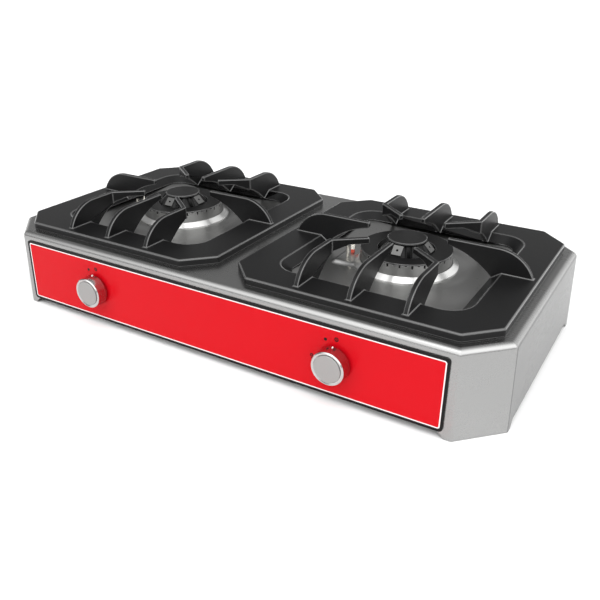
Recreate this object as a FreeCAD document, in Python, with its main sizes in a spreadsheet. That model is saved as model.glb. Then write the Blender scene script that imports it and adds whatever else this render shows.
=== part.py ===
import FreeCAD, Part
import math
import os
import re
import Sketcher

# Table-top camping stove with two burners, in millimetres.
# +Z is up and +X is to the right of someone who stands at the knobs, which face -Y.
# The origin lies under the middle of the stove, on the surface that it stands on.

V = FreeCAD.Vector
SIDES = (("left", "-"), ("right", "+"))
FULL_TURN = 360

SIZES = [
    # casing
    ("body_half_width", 356.2, "half the casing's width just under the deck"),
    ("body_half_depth", 180.6, "half the casing's depth just under the deck"),
    ("corner_cut", 43.5, "leg of each 45 degree corner"),
    ("wall_top", 104.8, "height of the deck's underside, where the walls' width is given"),
    ("wall_flare", 1.8, "degrees by which the walls lean outwards to the bottom"),
    ("wall_sheet", 1.0, "thickness of the wall sheet"),
    ("wall_bend", 4.0, "outer radius of the walls' upright bends"),
    ("foot_lift", 0.6, "height of the walls' corners, which the rubber pads hold up"),
    ("flange_width", 17.0, "inward flange that holds the deck"),
    ("arch_height", 8.6, "height of the walls' bottom edge between the corners"),
    ("arch_margin", 6.2, "flat foot between a bend and the arch's slanted end"),
    ("arch_run", 8.5, "length of the arch's slanted end"),
    ("gusset_height", 3.2, "height of the corner gussets' upper face"),
    ("gusset_reach", 17.0, "reach of a corner gusset inwards, each way"),
    ("pad_radius", 9.0, "rubber foot pad"),
    ("pad_stem_radius", 3.0, "stem of the foot pad"),
    ("pad_stem_rise", 2.2, "stem height above the gusset"),
    # deck
    ("deck_sheet", 0.8, "thickness of the deck sheet"),
    ("rim_drop", 7.8, "depth of the deck's rolled rim, which stands on the walls"),
    ("rim_round", 7.6, "outer radius of the rolled rim"),
    ("window_half", 136.0, "half the side of each square opening in the deck"),
    ("window_corner", 30.0, "corner radius of that opening"),
    ("stud_radius", 2.0, "welded studs under the deck"),
    ("stud_length", 11.8, "length of those studs"),
    ("stud_inset", 11.0, "from the wall's outer face to a stud"),
    ("stud_room", 0.4, "gap round a stud in the flange"),
    ("stud_x", 250.0, "studs along the front and back"),
    ("stud_y", 90.0, "studs along the ends"),
    ("nut_radius", 3.8, "flange nuts on the studs"),
    ("nut_height", 3.2, "height of the flange nuts"),
    ("thread_gap", 0.03, "gap round a fastener's shank"),
    ("lean_gap", 0.15, "room for the leaning wall round its level screws"),
    # burner wells
    ("burner_pitch", 355.2, "distance between the two burners"),
    ("well_sheet", 0.8, "thickness of the pressed wells"),
    ("well_half", 144.0, "half the side of a well's flange"),
    ("well_corner", 38.0, "corner radius of that flange"),
    ("dish_radius", 134.0, "outer radius of the dish"),
    ("dish_shoulder", 100.0, "radius where the dish turns flat"),
    ("dish_low_radius", 86.0, "radius of the lowest part of the dish"),
    ("dish_depth", 5.4, "depth of the dish below the flange"),
    ("lip_radius", 66.4, "radius where the dish meets its raised lip"),
    ("lip_top", 101.0, "top of the dish's raised lip"),
    ("boss_reach", 82.0, "reach of the raised ignition boss from the burner"),
    ("boss_half_width", 27.0, "half the width of the ignition boss"),
    ("boss_top", 103.6, "top of the ignition boss"),
    # front panel
    ("panel_half_width", 304.4, "half the width of the framed panel"),
    ("panel_low", 8.9, "panel's bottom edge, along the wall"),
    ("panel_high", 94.75, "panel's top edge, along the wall"),
    ("panel_corner", 4.5, "corner radius of the framed panel"),
    ("trim_width", 3.0, "width of the black edge trim"),
    ("trim_depth", 1.6, "how far the trim stands on the wall"),
    ("glass_depth", 1.4, "thickness of the glass"),
    ("glass_gap", 0.1, "gap between the glass and its trim"),
    # knobs and taps
    ("knob_height", 52.7, "height of the knob axis"),
    ("knob_front", 201.8, "distance of the knob's face before the burner line"),
    ("knob_radius", 20.5, "back edge of the knob's skirt"),
    ("knob_taper", 0.5, "how much narrower the skirt is at its front edge"),
    ("knob_depth", 14.7, "depth of the knob"),
    ("knob_wall", 1.9, "knob skirt's thickness"),
    ("knob_bevel", 1.2, "bevel between the skirt and the ring round the face"),
    ("knob_dish", 0.8, "how far that ring falls towards the face's disc"),
    ("disc_radius", 16.2, "metal disc in the knob's face"),
    ("disc_bevel", 0.3, "its bevel, and the gap round it"),
    ("hub_setback", 0.6, "hub's end behind the skirt's edge"),
    ("hub_room", 0.4, "gap between the spindle's end and the hub's floor"),
    ("face_thick", 1.3, "metal disc in the knob's face"),
    ("hub_radius", 6.5, "knob's hub"),
    ("hub_bore_depth", 11.0, "depth of the hub's bore"),
    ("push_travel", 2.5, "how far the knob is pressed"),
    ("spindle_radius", 3.0, "tap spindle"),
    ("spindle_gap", 0.06, "running gap round the spindle"),
    ("spindle_end", 148.0, "inner end of the spindle, before the burner line"),
    ("collar_radius", 6.0, "spring collar on the spindle"),
    ("collar_face", 158.0, "front face of the spring collar"),
    ("collar_thick", 3.0, "spring collar"),
    ("tap_front", 166.0, "front face of the tap"),
    ("tap_back", 128.0, "rear face of the tap"),
    ("tap_radius", 12.0, "tap barrel"),
    ("tap_bore_end", 137.0, "inner end of the tap's bore"),
    ("tap_foot_half", 8.0, "half the width of the tap's foot"),
    ("tap_foot_front", 156.0, "front of the tap's foot"),
    ("cover_half", 14.0, "half the side of the tap's front cover"),
    ("cover_thick", 2.0, "tap's front cover"),
    ("screw_radius", 1.5, "small screws"),
    ("screw_head_radius", 2.8, "small screw heads"),
    ("screw_head", 1.8, "height of the small screw heads"),
    ("cover_screw", 9.0, "cover screws' distance from the spindle, up and down"),
    ("screw_hold", 4.0, "length of the small screws in their threads"),
    ("spring_wire", 0.8, "wire of the return spring"),
    ("spring_radius", 4.6, "mean radius of the return spring"),
    ("spring_turns", 6.0, "turns of the return spring"),
    ("jet_radius", 3.0, "gas jet's shank"),
    ("jet_hex", 4.6, "gas jet's body"),
    ("jet_length", 12.0, "length of the gas jet outside the tap"),
    # gas pipes
    ("rail_radius", 6.0, "gas rail and supply pipe"),
    ("rail_bore", 4.8, "their bore"),
    ("rail_y", 142.0, "gas rail's distance before the burner line"),
    ("rail_height", 33.0, "height of the gas rail"),
    ("rail_left", 200.0, "left end of the gas rail"),
    ("pipe_x", 262.0, "supply pipe, right of the middle"),
    ("elbow_half", 9.0, "half the side of the elbow block"),
    ("inlet_radius", 10.48, "G 1/2 stub of the gas inlet"),
    ("inlet_bore", 5.0, "bore of the gas inlet"),
    ("inlet_length", 12.0, "length of the stub outside its nut"),
    ("inlet_root", 12.0, "length of the inlet inside the wall"),
    ("inlet_room", 1.0, "room for the leaning wall at the inlet"),
    ("inlet_neck", 11.0, "neck of the inlet in the wall and its nut"),
    ("inlet_nut", 16.0, "radius of the inlet's lock nut"),
    ("inlet_nut_thick", 4.0, "inlet's lock nut"),
    # burner
    ("bracket_half", 18.0, "half the width of a burner bracket"),
    ("bracket_low", 20.0, "underside of a burner bracket"),
    ("bracket_end", 44.0, "top of a bracket's turned-up end"),
    ("bracket_sheet", 1.5, "bracket sheet"),
    ("pot_low", 36.0, "underside of the burner pot"),
    ("pot_foot", 30.0, "radius of the pot's floor"),
    ("pot_radius", 56.9, "radius of the pot's mouth"),
    ("pot_wall", 3.6, "wall of the pot"),
    ("pot_flange", 64.0, "radius of the pot's flange"),
    ("pot_flange_thick", 2.5, "pot's flange"),
    ("pot_waist", 80.0, "height where the pot's cone ends"),
    ("ring_seat", 102.0, "where the flame ring stands on the pot"),
    ("chimney_radius", 12.5, "central gas tube"),
    ("chimney_bore", 9.0, "its bore"),
    ("chimney_top", 108.0, "its top"),
    ("shoulder_radius", 16.0, "shoulder that the inner burner stands on"),
    ("shoulder_top", 104.0, "its height"),
    ("venturi_radius", 13.0, "mixing tube"),
    ("venturi_bore", 10.5, "its bore"),
    ("venturi_mouth", 104.0, "mixing tube's mouth, before the burner axis"),
    ("venturi_bell", 16.0, "radius of the mouth's bell"),
    ("post_radius", 5.0, "burner pot's feet"),
    ("post_reach", 19.0, "their distance from the axis"),
    ("flame_radius", 57.0, "flame ring"),
    ("flame_wall", 3.8, "its wall"),
    ("flame_top", 121.2, "its top"),
    ("slot_width", 2.0, "large flame slots"),
    ("slot_depth", 4.2, "their depth"),
    ("slot_count", 24, "number of large slots, with a small one between each two"),
    ("small_slot_width", 2.6, "small flame slots"),
    ("small_slot_depth", 1.3, "their depth"),
    ("ring_foot", 65.2, "outer radius of the polished collar ring"),
    ("ring_gap", 0.5, "gap between the collar ring and the flame ring"),
    ("ring_top", 107.6, "top of the collar ring"),
    ("ring_bevel_low", 102.4, "lower edge of the ring's bevel"),
    ("cap_edge", 57.3, "outer radius of the black burner cap"),
    ("cap_top", 123.0, "its upper edge"),
    ("cap_bore", 35.5, "its bore"),
    ("cap_dip", 1.0, "how much lower the cap is at its bore"),
    ("cap_skirt", 3.2, "depth of the skirt that centres the cap"),
    ("skirt_gap", 0.3, "gap between that skirt and the flame ring"),
    ("head_base", 34.3, "radius of the inner burner's base"),
    ("head_base_top", 121.2, "height where its cone starts"),
    ("head_neck", 22.5, "radius at the top of its cone"),
    ("head_top", 133.0, "top of its cone"),
    ("head_gap", 0.3, "gap between the inner burner and the central tube"),
    ("port_pads", 4, "raised pads with gas ports"),
    ("port_half_width", 6.4, "half the width of a pad"),
    ("port_start", 1.9, "from the cone's top to a pad, down the cone"),
    ("port_length", 13.0, "length of a pad down the cone"),
    ("port_rise", 1.6, "how far a pad stands off the cone"),
    ("port_radius", 1.3, "gas port in each pad"),
    ("flute_radius", 4.6, "hollows beside the pads"),
    ("flute_angle", 27.0, "degrees from a pad's middle to a hollow's"),
    ("crown_radius", 24.3, "black disc on the inner burner"),
    ("crown_thick", 3.0, "its thickness"),
    ("crown_bevel", 0.8, "its bevel"),
    ("crown_spigot", 8.6, "radius of its spigot"),
    ("crown_spigot_length", 7.0, "length of its spigot"),
    # ignition
    ("spark_x", 70.0, "spark electrode, left of the burner axis"),
    ("spark_y", 8.0, "and before it"),
    ("spark_top", 118.0, "top of the electrode's wire"),
    ("probe_x", 69.5, "flame probe, left of the burner axis"),
    ("probe_y", 23.0, "and before it"),
    ("probe_top", 119.0, "top of the flame probe"),
    ("ceramic_radius", 2.6, "electrode's ceramic sleeve"),
    ("ceramic_top", 113.5, "its top"),
    ("ceramic_low", 92.0, "its lower end"),
    ("wire_radius", 0.8, "electrode's wire"),
    ("probe_radius", 1.9, "flame probe"),
    ("probe_low", 90.0, "lower end of the flame probe"),
    ("clip_thick", 1.2, "clip that holds both under the boss"),
    ("clip_width", 18.0, "its width, reaching under the pot's flange"),
    ("clip_margin", 6.0, "its edge beyond the electrode and the probe"),
    ("piezo_radius", 5.5, "piezo igniter beside each tap"),
    ("piezo_x", 16.9, "its distance from the spindle, nested in the tap"),
    ("lead_run", 20.0, "straight run of the lead behind the igniter"),
    ("probe_run", 12.0, "straight run of the probe tube behind the tap"),
    ("probe_exit_x", 7.0, "probe tube's exit, left of the spindle"),
    ("probe_exit_z", 8.0, "and above it"),
    ("lead_radius", 1.3, "igniter lead and probe tube"),
    # pan supports
    ("support_half_x", 163.0, "half the width of a pan support"),
    ("support_half_y", 165.0, "half its depth"),
    ("support_cut", 34.0, "leg of its corners"),
    ("support_top", 115.1, "upper face of its plate"),
    ("support_skin", 3.0, "thickness of the plate's skin and outer wall"),
    ("support_round", 2.0, "radius of the plate's upper edge"),
    ("mouth_half_x", 120.0, "half the width of its opening at the top"),
    ("mouth_half_y", 124.0, "half the depth of its opening at the top"),
    ("mouth_corner", 24.0, "corner radius of its opening"),
    ("mouth_run", 14.0, "run of the sloped edge inwards"),
    ("mouth_low", 105.3, "lower edge of that slope"),
    ("fin_thick", 6.0, "pan fins"),
    ("fin_pitch", 66.0, "distance between fins"),
    ("fin_foot", 157.1, "outer end of a fin"),
    ("fin_crest", 113.0, "where a fin's back turns level"),
    ("fin_top", 145.0, "height of the fins"),
    ("fin_radius", 46.0, "radius of a fin's back"),
    ("fin_under_radius", 112.0, "radius of a fin's lower edge"),
    ("fin_tip", 48.3, "inner end of the straight fins"),
    ("side_fin_tip", 51.5, "inner end of the end fins"),
    ("fin_tip_depth", 7.6, "depth of a fin at its tip"),
    ("fin_nose", 1.2, "bevel at a fin's tip"),
    ("fin_thin", 50.5, "where the lower edge turns level"),
    ("bend_y", 76.0, "where the outer fins bend inwards"),
    ("bend_tip_x", 29.0, "tip of a bent fin, across"),
    ("bend_tip_y", 47.0, "tip of a bent fin, along"),
    ("bend_low", 129.0, "lower edge of a fin at its bend"),
    ("bend_taper", 23.0, "length over which a bent fin thins out"),
]

# Lengths that follow from the sizes above.
DERIVED = {
    "deck_top": "wall_top + deck_sheet",
    "burner_x": "burner_pitch / 2",
    "rim_low": "deck_top - rim_drop",
    "rim_flare": "(wall_top - rim_low) * tan(wall_flare)",
    "well_top": "wall_top",
    "dish_low": "well_top - dish_depth",
    "lip_low": "lip_top - well_sheet",
    "lip_bore": "pot_radius + skirt_gap",
    "flange_low": "lip_low - pot_flange_thick",
    "clip_low": "flange_low - clip_thick",
    "panel_mid": "(panel_low + panel_high) / 2",
    "panel_half_height": "(panel_high - panel_low) / 2",
    "glass_half_width": "panel_half_width - trim_width - glass_gap",
    "glass_half_height": "panel_half_height - trim_width - glass_gap",
    "knob_back": "knob_front - knob_depth",
    "collar_back": "collar_face - collar_thick",
    "tap_bore": "collar_radius + spindle_gap",
    "tap_foot_low": "bracket_low + bracket_sheet",
    "ring_bore": "flame_radius + ring_gap",
    "flame_bore": "flame_radius - flame_wall",
    "skirt_radius": "flame_bore - skirt_gap",
    "head_bore": "chimney_radius + head_gap",
    "plate_low": "deck_top",
    "skin_low": "support_top - support_skin",
    "mouth_low_x": "mouth_half_x - mouth_run",
    "mouth_low_y": "mouth_half_y - mouth_run",
    "bend_length": "sqrt((fin_pitch - bend_tip_x)^2 + (bend_y - bend_tip_y)^2)",
    "tip_low": "fin_top - fin_tip_depth",
}

doc = FreeCAD.newDocument("camping_stove")
sheet = doc.addObject("Spreadsheet::Sheet", "Dims")
NAMES = set()
PARTS = []


def fill_sheet():
    """Write every driving size into the sheet, with its alias and what it is."""
    for row, (name, size, note) in enumerate(SIZES, start=1):
        sheet.set("A%d" % row, note)
        sheet.set("B%d" % row, str(size))
        sheet.setAlias("B%d" % row, name)
        NAMES.add(name)
    doc.recompute()


def on_sheet(formula):
    """Turn a formula on plain names into one on the sheet's cells."""
    def swap(match):
        word = match.group(0)
        if word in DERIVED:
            return "(" + on_sheet(DERIVED[word]) + ")"
        if word in NAMES:
            return "Dims." + word
        return word
    return re.sub(r"[A-Za-z_]\w*", swap, str(formula))


def value(formula):
    """Work a formula out to a plain number."""
    result = sheet.evalExpression(on_sheet(formula))
    return float(getattr(result, "Value", result))


def bind(thing, prop, formula):
    """Tie a property to a formula on the sheet."""
    thing.setExpression(prop, on_sheet(formula))


def place(thing, x="0", y="0", z="0", turn=None):
    """Place a sub-part: the offset is tied to the sheet, the turn is fixed."""
    rotation = turn or FreeCAD.Rotation()
    thing.Placement = FreeCAD.Placement(V(value(x), value(y), value(z)), rotation)
    for axis, formula in zip("xyz", (x, y, z)):
        bind(thing, "Placement.Base." + axis, formula)


def keep(thing):
    """List an object as a finished sub-part of the stove."""
    PARTS.append(thing)
    return thing


def new_body(label):
    """Start a part body with its own label."""
    body = doc.addObject("PartDesign::Body", label)
    body.Label = label
    return body


def origin_feature(body, role):
    """Find a body's own origin plane or axis."""
    return [item for item in body.Origin.OriginFeatures if item.Role == role][0]


def new_sketch(body, role="XY_Plane", offset="0", spot=None):
    """Start a sketch on an origin plane, raised by an offset or set at a given spot."""
    sketch = body.newObject("Sketcher::SketchObject", body.Label + "_sketch")
    sketch.AttachmentSupport = [(origin_feature(body, role), "")]
    sketch.MapMode = "FlatFace"
    if spot is not None:
        sketch.AttachmentOffset = spot
        return sketch
    sketch.AttachmentOffset = FreeCAD.Placement(V(0, 0, value(offset)), FreeCAD.Rotation())
    bind(sketch, "AttachmentOffset.Base.z", offset)
    return sketch


def pin_point(sketch, geometry, end, x, y):
    """Fix a sketch point to two formulas."""
    for axis, formula in (("DistanceX", x), ("DistanceY", y)):
        rule = Sketcher.Constraint(axis, -1, 1, geometry, end, value(formula))
        index = sketch.addConstraint(rule)
        bind(sketch, "Constraints[%d]" % index, formula)


def arc_between(start, end, radius):
    """Arc from start to end; a positive radius bulges to the right of the way."""
    chord = end - start
    side = V(chord.y, -chord.x, 0).normalize() * math.copysign(1, radius)
    half = chord.Length / 2
    rise = abs(radius) - math.sqrt(radius ** 2 - half ** 2)
    return Part.Arc(start, (start + end) / 2 + side * rise, end)


def draw_outline(sketch, points):
    """Draw a closed outline. A point is (x, y), or (x, y, r) where an arc starts."""
    spots = [V(value(point[0]), value(point[1]), 0) for point in points]
    first = sketch.GeometryCount
    ends = []
    for index, point in enumerate(points):
        start, end = spots[index], spots[(index + 1) % len(spots)]
        if len(point) < 3:
            sketch.addGeometry(Part.LineSegment(start, end), False)
            ends.append((1, 2))
            continue
        sketch.addGeometry(arc_between(start, end, value(point[2])), False)
        centre = sketch.Geometry[-1].Center
        turns_left = (start - centre).cross(end - centre).z > 0
        ends.append((1, 2) if turns_left else (2, 1))
    for index, point in enumerate(points):
        after = (index + 1) % len(points)
        joint = Sketcher.Constraint("Coincident", first + index, ends[index][1],
                                    first + after, ends[after][0])
        sketch.addConstraint(joint)
    for index, point in enumerate(points):
        pin_point(sketch, first + index, ends[index][0], point[0], point[1])
        if len(point) == 3:
            rule = Sketcher.Constraint("Radius", first + index, abs(value(point[2])))
            bind(sketch, "Constraints[%d]" % sketch.addConstraint(rule), "abs(%s)" % point[2])


def draw_circle(sketch, x, y, radius):
    """Draw a circle with its centre and radius tied to formulas."""
    circle = Part.Circle(V(value(x), value(y), 0), V(0, 0, 1), value(radius))
    index = sketch.addGeometry(circle, False)
    pin_point(sketch, index, 3, x, y)
    rule = Sketcher.Constraint("Radius", index, value(radius))
    bind(sketch, "Constraints[%d]" % sketch.addConstraint(rule), radius)


def extrude(body, kind, sketch, length=None, **settings):
    """Add a Pad or Pocket; with no length it goes through everything."""
    feature = body.newObject("PartDesign::" + kind, "%s_%s" % (body.Label, kind.lower()))
    feature.Profile = sketch
    if length is None:
        feature.Type = "ThroughAll"
    else:
        feature.Length = value(length)
        bind(feature, "Length", length)
    for name, setting in settings.items():
        setattr(feature, name, setting)
    return feature


def pocket(body, sketch, length=None, **settings):
    """Cut a pocket, and insist that it takes material away and leaves one solid."""
    doc.recompute()
    before = body.Shape.Volume
    feature = extrude(body, "Pocket", sketch, length, **settings)
    doc.recompute()
    if feature.Shape.Volume > before - 0.01 or len(feature.Shape.Solids) != 1:
        raise RuntimeError("%s of %s has not cut as it should" % (feature.Name, body.Label))
    return feature


def revolve(label, points):
    """A turned part: the outline is (radius, height) and turns about +Z."""
    body = new_body(label)
    sketch = new_sketch(body, "XZ_Plane")
    draw_outline(sketch, points)
    turned = body.newObject("PartDesign::Revolution", label + "_turned")
    turned.Profile = sketch
    turned.ReferenceAxis = (sketch, ["V_Axis"])
    turned.Angle = FULL_TURN
    return body


def pattern(body, feature, count, angle=FULL_TURN):
    """Repeat a feature about the body's own Z axis."""
    copies = body.newObject("PartDesign::PolarPattern", body.Label + "_pattern")
    copies.Originals = [feature]
    copies.Axis = (origin_feature(body, "Z_Axis"), [""])
    copies.Angle = angle
    copies.Occurrences = int(round(value(count)))
    bind(copies, "Occurrences", count)
    body.Tip = copies
    return copies


def round_edges(body, radius, wanted):
    """Round the edges of a body that a test picks out."""
    doc.recompute()
    base = body.Tip
    picked = ["Edge%d" % (index + 1) for index, edge in enumerate(base.Shape.Edges) if wanted(edge)]
    rounding = body.newObject("PartDesign::Fillet", body.Label + "_fillet")
    rounding.Base = (base, picked)
    rounding.Radius = value(radius)
    bind(rounding, "Radius", radius)
    doc.recompute()
    return rounding


def is_upright(edge):
    """True for an edge that rises from end to end, leaning or not."""
    ends = [vertex.Point for vertex in edge.Vertexes]
    return len(ends) == 2 and abs(ends[0].z - ends[1].z) > 0.5 * edge.Length


def is_level_at(height):
    """Make a test for edges that lie at one height."""
    def wanted(edge):
        return all(abs(vertex.Point.z - value(height)) < 0.01 for vertex in edge.Vertexes)
    return wanted


def octagon(half_x, half_y, cut, offset="0"):
    """Outline of a rectangle with 45 degree corners, moved outwards by an offset."""
    x, y = "(%s + %s)" % (half_x, offset), "(%s + %s)" % (half_y, offset)
    leg = "(%s + %s * (2 - sqrt(2)))" % (cut, offset)
    corners = [(x, "%s - %s" % (y, leg)), ("%s - %s" % (x, leg), y)]
    outline = list(corners)
    outline += [("-(%s)" % a, b) for a, b in reversed(corners)]
    outline += [("-(%s)" % a, "-(%s)" % b) for a, b in corners]
    outline += [(a, "-(%s)" % b) for a, b in reversed(corners)]
    return outline


def rounded_square(half_x, half_y, corner, x="0"):
    """Outline of a rectangle with rounded corners, centred at (x, 0)."""
    near_x, near_y = "(%s - %s)" % (half_x, corner), "(%s - %s)" % (half_y, corner)
    places = [(half_x, "-" + near_y), (half_x, near_y, corner), (near_x, half_y),
              ("-" + near_x, half_y, corner), ("-" + half_x, near_y), ("-" + half_x, "-" + near_y, corner),
              ("-" + near_x, "-" + half_y), (near_x, "-" + half_y, corner)]
    return [("%s + %s" % (x, point[0]),) + tuple(point[1:]) for point in places]


def cylinder(label, radius, height, x="0", y="0", z="0", turn=None):
    """A plain cylinder; its axis is +Z unless it is turned."""
    item = doc.addObject("Part::Cylinder", label)
    bind(item, "Radius", radius)
    bind(item, "Height", height)
    place(item, x, y, z, turn)
    return item


def block(label, size, x="0", y="0", z="0"):
    """A plain block from its low corner."""
    item = doc.addObject("Part::Box", label)
    for prop, formula in zip(("Length", "Width", "Height"), size):
        bind(item, prop, formula)
    place(item, x, y, z)
    return item


def joined(label, pieces):
    """Fuse pieces into one solid."""
    item = doc.addObject("Part::MultiFuse", label)
    item.Shapes = pieces
    item.Label = label
    return item


def cut_from(label, base, tools):
    """Cut tools out of a base."""
    tool = tools[0] if len(tools) == 1 else joined(label + "_tools", tools)
    item = doc.addObject("Part::Cut", label)
    item.Base = base
    item.Tool = tool
    item.Label = label
    return item


def grouped(label, pieces):
    """Keep separate solids together in one sub-part."""
    item = doc.addObject("Part::Compound", label)
    item.Links = pieces
    item.Label = label
    return keep(item)


ALONG_Y = FreeCAD.Rotation(V(1, 0, 0), -90)
TO_FRONT = FreeCAD.Rotation(V(1, 0, 0), 90)
ALONG_X = FreeCAD.Rotation(V(0, 1, 0), 90)


# Later bends of the igniter lead and of the probe tube, from the burner axis.
LEAD_BENDS = [V(-66, -70, 54), V(-70, -8, 68)]
PROBE_BENDS = [V(-40, -106, 64), V(-68, -66, 68), V(-69.5, -23, 72)]


def stud_spots():
    """Places of the studs that hold the deck, as pairs of formulas."""
    along_y = "(body_half_depth - stud_inset)"
    along_x = "(body_half_width - stud_inset)"
    spots = [(x, sign + along_y) for sign in ("-", "") for x in ("-stud_x", "0", "stud_x")]
    return spots + [(sign + along_x, y) for sign in ("-", "") for y in ("-stud_y", "stud_y")]


def make_casing():
    """Walls of folded sheet with an inward flange, arched edges and corner gussets."""
    body = new_body("body_shell")
    outer = new_sketch(body, offset="rim_low")
    draw_outline(outer, octagon("body_half_width", "body_half_depth", "corner_cut", "rim_flare"))
    extrude(body, "Pad", outer, "rim_low - foot_lift", Reversed=True)
    lean_walls(body)
    round_edges(body, "wall_bend", is_upright)
    hollow_out(body, "wall_sheet")
    mouth = new_sketch(body, offset="rim_low")
    draw_outline(mouth, octagon("body_half_width", "body_half_depth", "corner_cut", "(-flange_width)"))
    pocket(body, mouth, "2 * wall_sheet")
    holes = new_sketch(body, offset="rim_low")
    for x, y in stud_spots():
        draw_circle(holes, x, y, "stud_radius + stud_room")
    pocket(body, holes, "2 * wall_sheet")
    cut_arches(body)
    gussets = new_sketch(body, offset="gusset_height - wall_sheet")
    spread = "((wall_top - gusset_height) * tan(wall_flare) - wall_sheet / 2)"
    for sign_x in ("", "-"):
        for sign_y in ("", "-"):
            draw_gusset(gussets, sign_x, sign_y, spread)
    extrude(body, "Pad", gussets, "wall_sheet")
    stems = new_sketch(body, offset="gusset_height")
    for x, y in pad_spots():
        draw_circle(stems, x, y, "pad_stem_radius + thread_gap")
    pocket(body, stems, "2 * wall_sheet")
    front = new_sketch(body, "XZ_Plane")
    for _, sign in SIDES:
        draw_circle(front, sign + "burner_x", "knob_height", "tap_bore")
    pocket(body, front, Reversed=True)
    back = new_sketch(body, "XZ_Plane")
    draw_circle(back, "pipe_x", "rail_height", "inlet_neck + thread_gap")
    for x, z in bracket_screw_spots():
        draw_circle(back, x, z, "screw_radius + lean_gap")
    pocket(body, back)
    keep(body)


def faces_facing(feature, low, high):
    """Names of a feature's faces whose normal has its Z part between two limits."""
    faces = enumerate(feature.Shape.Faces, start=1)
    return ["Face%d" % index for index, face in faces if low < face.normalAt(0, 0).z < high]


def lean_walls(body):
    """Lean the upright faces outwards below the upper face."""
    doc.recompute()
    base = body.Tip
    lean = body.newObject("PartDesign::Draft", body.Label + "_lean")
    lean.Base = (base, faces_facing(base, -0.1, 0.1))
    lean.NeutralPlane = (base, faces_facing(base, 0.9, 1.1))
    lean.Angle = value("wall_flare")
    bind(lean, "Angle", "wall_flare")


def hollow_out(body, sheet_thickness):
    """Turn a solid into a shell of even thickness that is open below."""
    doc.recompute()
    base = body.Tip
    shell = body.newObject("PartDesign::Thickness", body.Label + "_shell")
    shell.Base = (base, faces_facing(base, -1.1, -0.9))
    shell.Reversed = True
    shell.Mode = "Skin"
    shell.Join = "Intersection"
    shell.Value = value(sheet_thickness)
    bind(shell, "Value", sheet_thickness)


def cut_arches(body):
    """Raise the walls' bottom edges between the corner feet."""
    for role, half in (("XZ_Plane", "body_half_width"), ("YZ_Plane", "body_half_depth")):
        arch = new_sketch(body, role)
        low = "(%s - corner_cut - arch_margin)" % half
        high = "(%s - corner_cut - arch_margin - arch_run)" % half
        draw_outline(arch, [("-" + low, "foot_lift - arch_height"), (low, "foot_lift - arch_height"),
                            (low, "foot_lift"), (high, "arch_height"),
                            ("-" + high, "arch_height"), ("-" + low, "foot_lift")])
        pocket(body, arch, Midplane=True)


def draw_gusset(sketch, sign_x, sign_y, spread):
    """Draw one corner gusset between the walls."""
    x, y = "(body_half_width + %s)" % spread, "(body_half_depth + %s)" % spread
    leg = "(corner_cut + %s * (2 - sqrt(2)))" % spread
    far_x, far_y = "(%s - %s)" % (x, leg), "(%s - %s)" % (y, leg)
    points = [(x, far_y), (far_x, y), ("(%s - gusset_reach)" % far_x, "(%s - gusset_reach)" % y),
              ("(%s - gusset_reach)" % x, "(%s - gusset_reach)" % far_y)]
    draw_outline(sketch, [(sign_x + a, sign_y + b) for a, b in points])


def pad_spots():
    """Places of the four rubber pads, behind the corners."""
    inset = "(corner_cut / 2 + pad_radius)"
    x, y = "(body_half_width - %s)" % inset, "(body_half_depth - %s)" % inset
    return [(a + x, b + y) for a in ("", "-") for b in ("", "-")]


def bracket_screw_spots():
    """Screws through the back wall into the burner brackets."""
    height = "(bracket_low + bracket_end) / 2"
    return [("%sburner_x %s bracket_half / 2" % (sign, side), height)
            for _, sign in SIDES for side in "+-"]


def make_feet():
    """Rubber pads, pressed into the corner gussets by their stems."""
    pads = []
    for index, (x, y) in enumerate(pad_spots()):
        pad = cylinder("pad%d" % index, "pad_radius", "gusset_height - wall_sheet", x, y)
        stem = cylinder("stem%d" % index, "pad_stem_radius", "gusset_height + pad_stem_rise", x, y)
        pads.append(joined("foot%d" % index, [pad, stem]))
    grouped("foot_pads", pads)


def make_deck():
    """Pressed deck: flat top, rolled rim that stands on the walls, openings, welded studs."""
    body = new_body("top_deck")
    outer = new_sketch(body, offset="rim_low")
    draw_outline(outer, octagon("body_half_width", "body_half_depth", "corner_cut", "rim_flare"))
    extrude(body, "Pad", outer, "rim_drop")
    round_edges(body, "wall_bend", is_upright)
    round_edges(body, "rim_round", is_level_at("deck_top"))
    hollow_out(body, "deck_sheet")
    windows = new_sketch(body, offset="deck_top")
    for _, sign in SIDES:
        draw_outline(windows, rounded_square("window_half", "window_half", "window_corner",
                                             sign + "burner_x"))
    pocket(body, windows, "2 * deck_sheet")
    studs = new_sketch(body, offset="wall_top")
    for x, y in stud_spots():
        draw_circle(studs, x, y, "stud_radius")
    extrude(body, "Pad", studs, "stud_length", Reversed=True)
    keep(body)


def make_deck_nuts():
    """Flange nuts on the deck's studs, under the walls' flange."""
    nuts = []
    for index, (x, y) in enumerate(stud_spots()):
        top = "rim_low - wall_sheet - nut_height"
        ring = cylinder("nut%d" % index, "nut_radius", "nut_height", x, y, top)
        bore = cylinder("nut_bore%d" % index, "stud_radius + thread_gap", "nut_height", x, y, top)
        nuts.append(cut_from("deck_nut%d" % index, ring, [bore]))
    grouped("deck_nuts", nuts)


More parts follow.
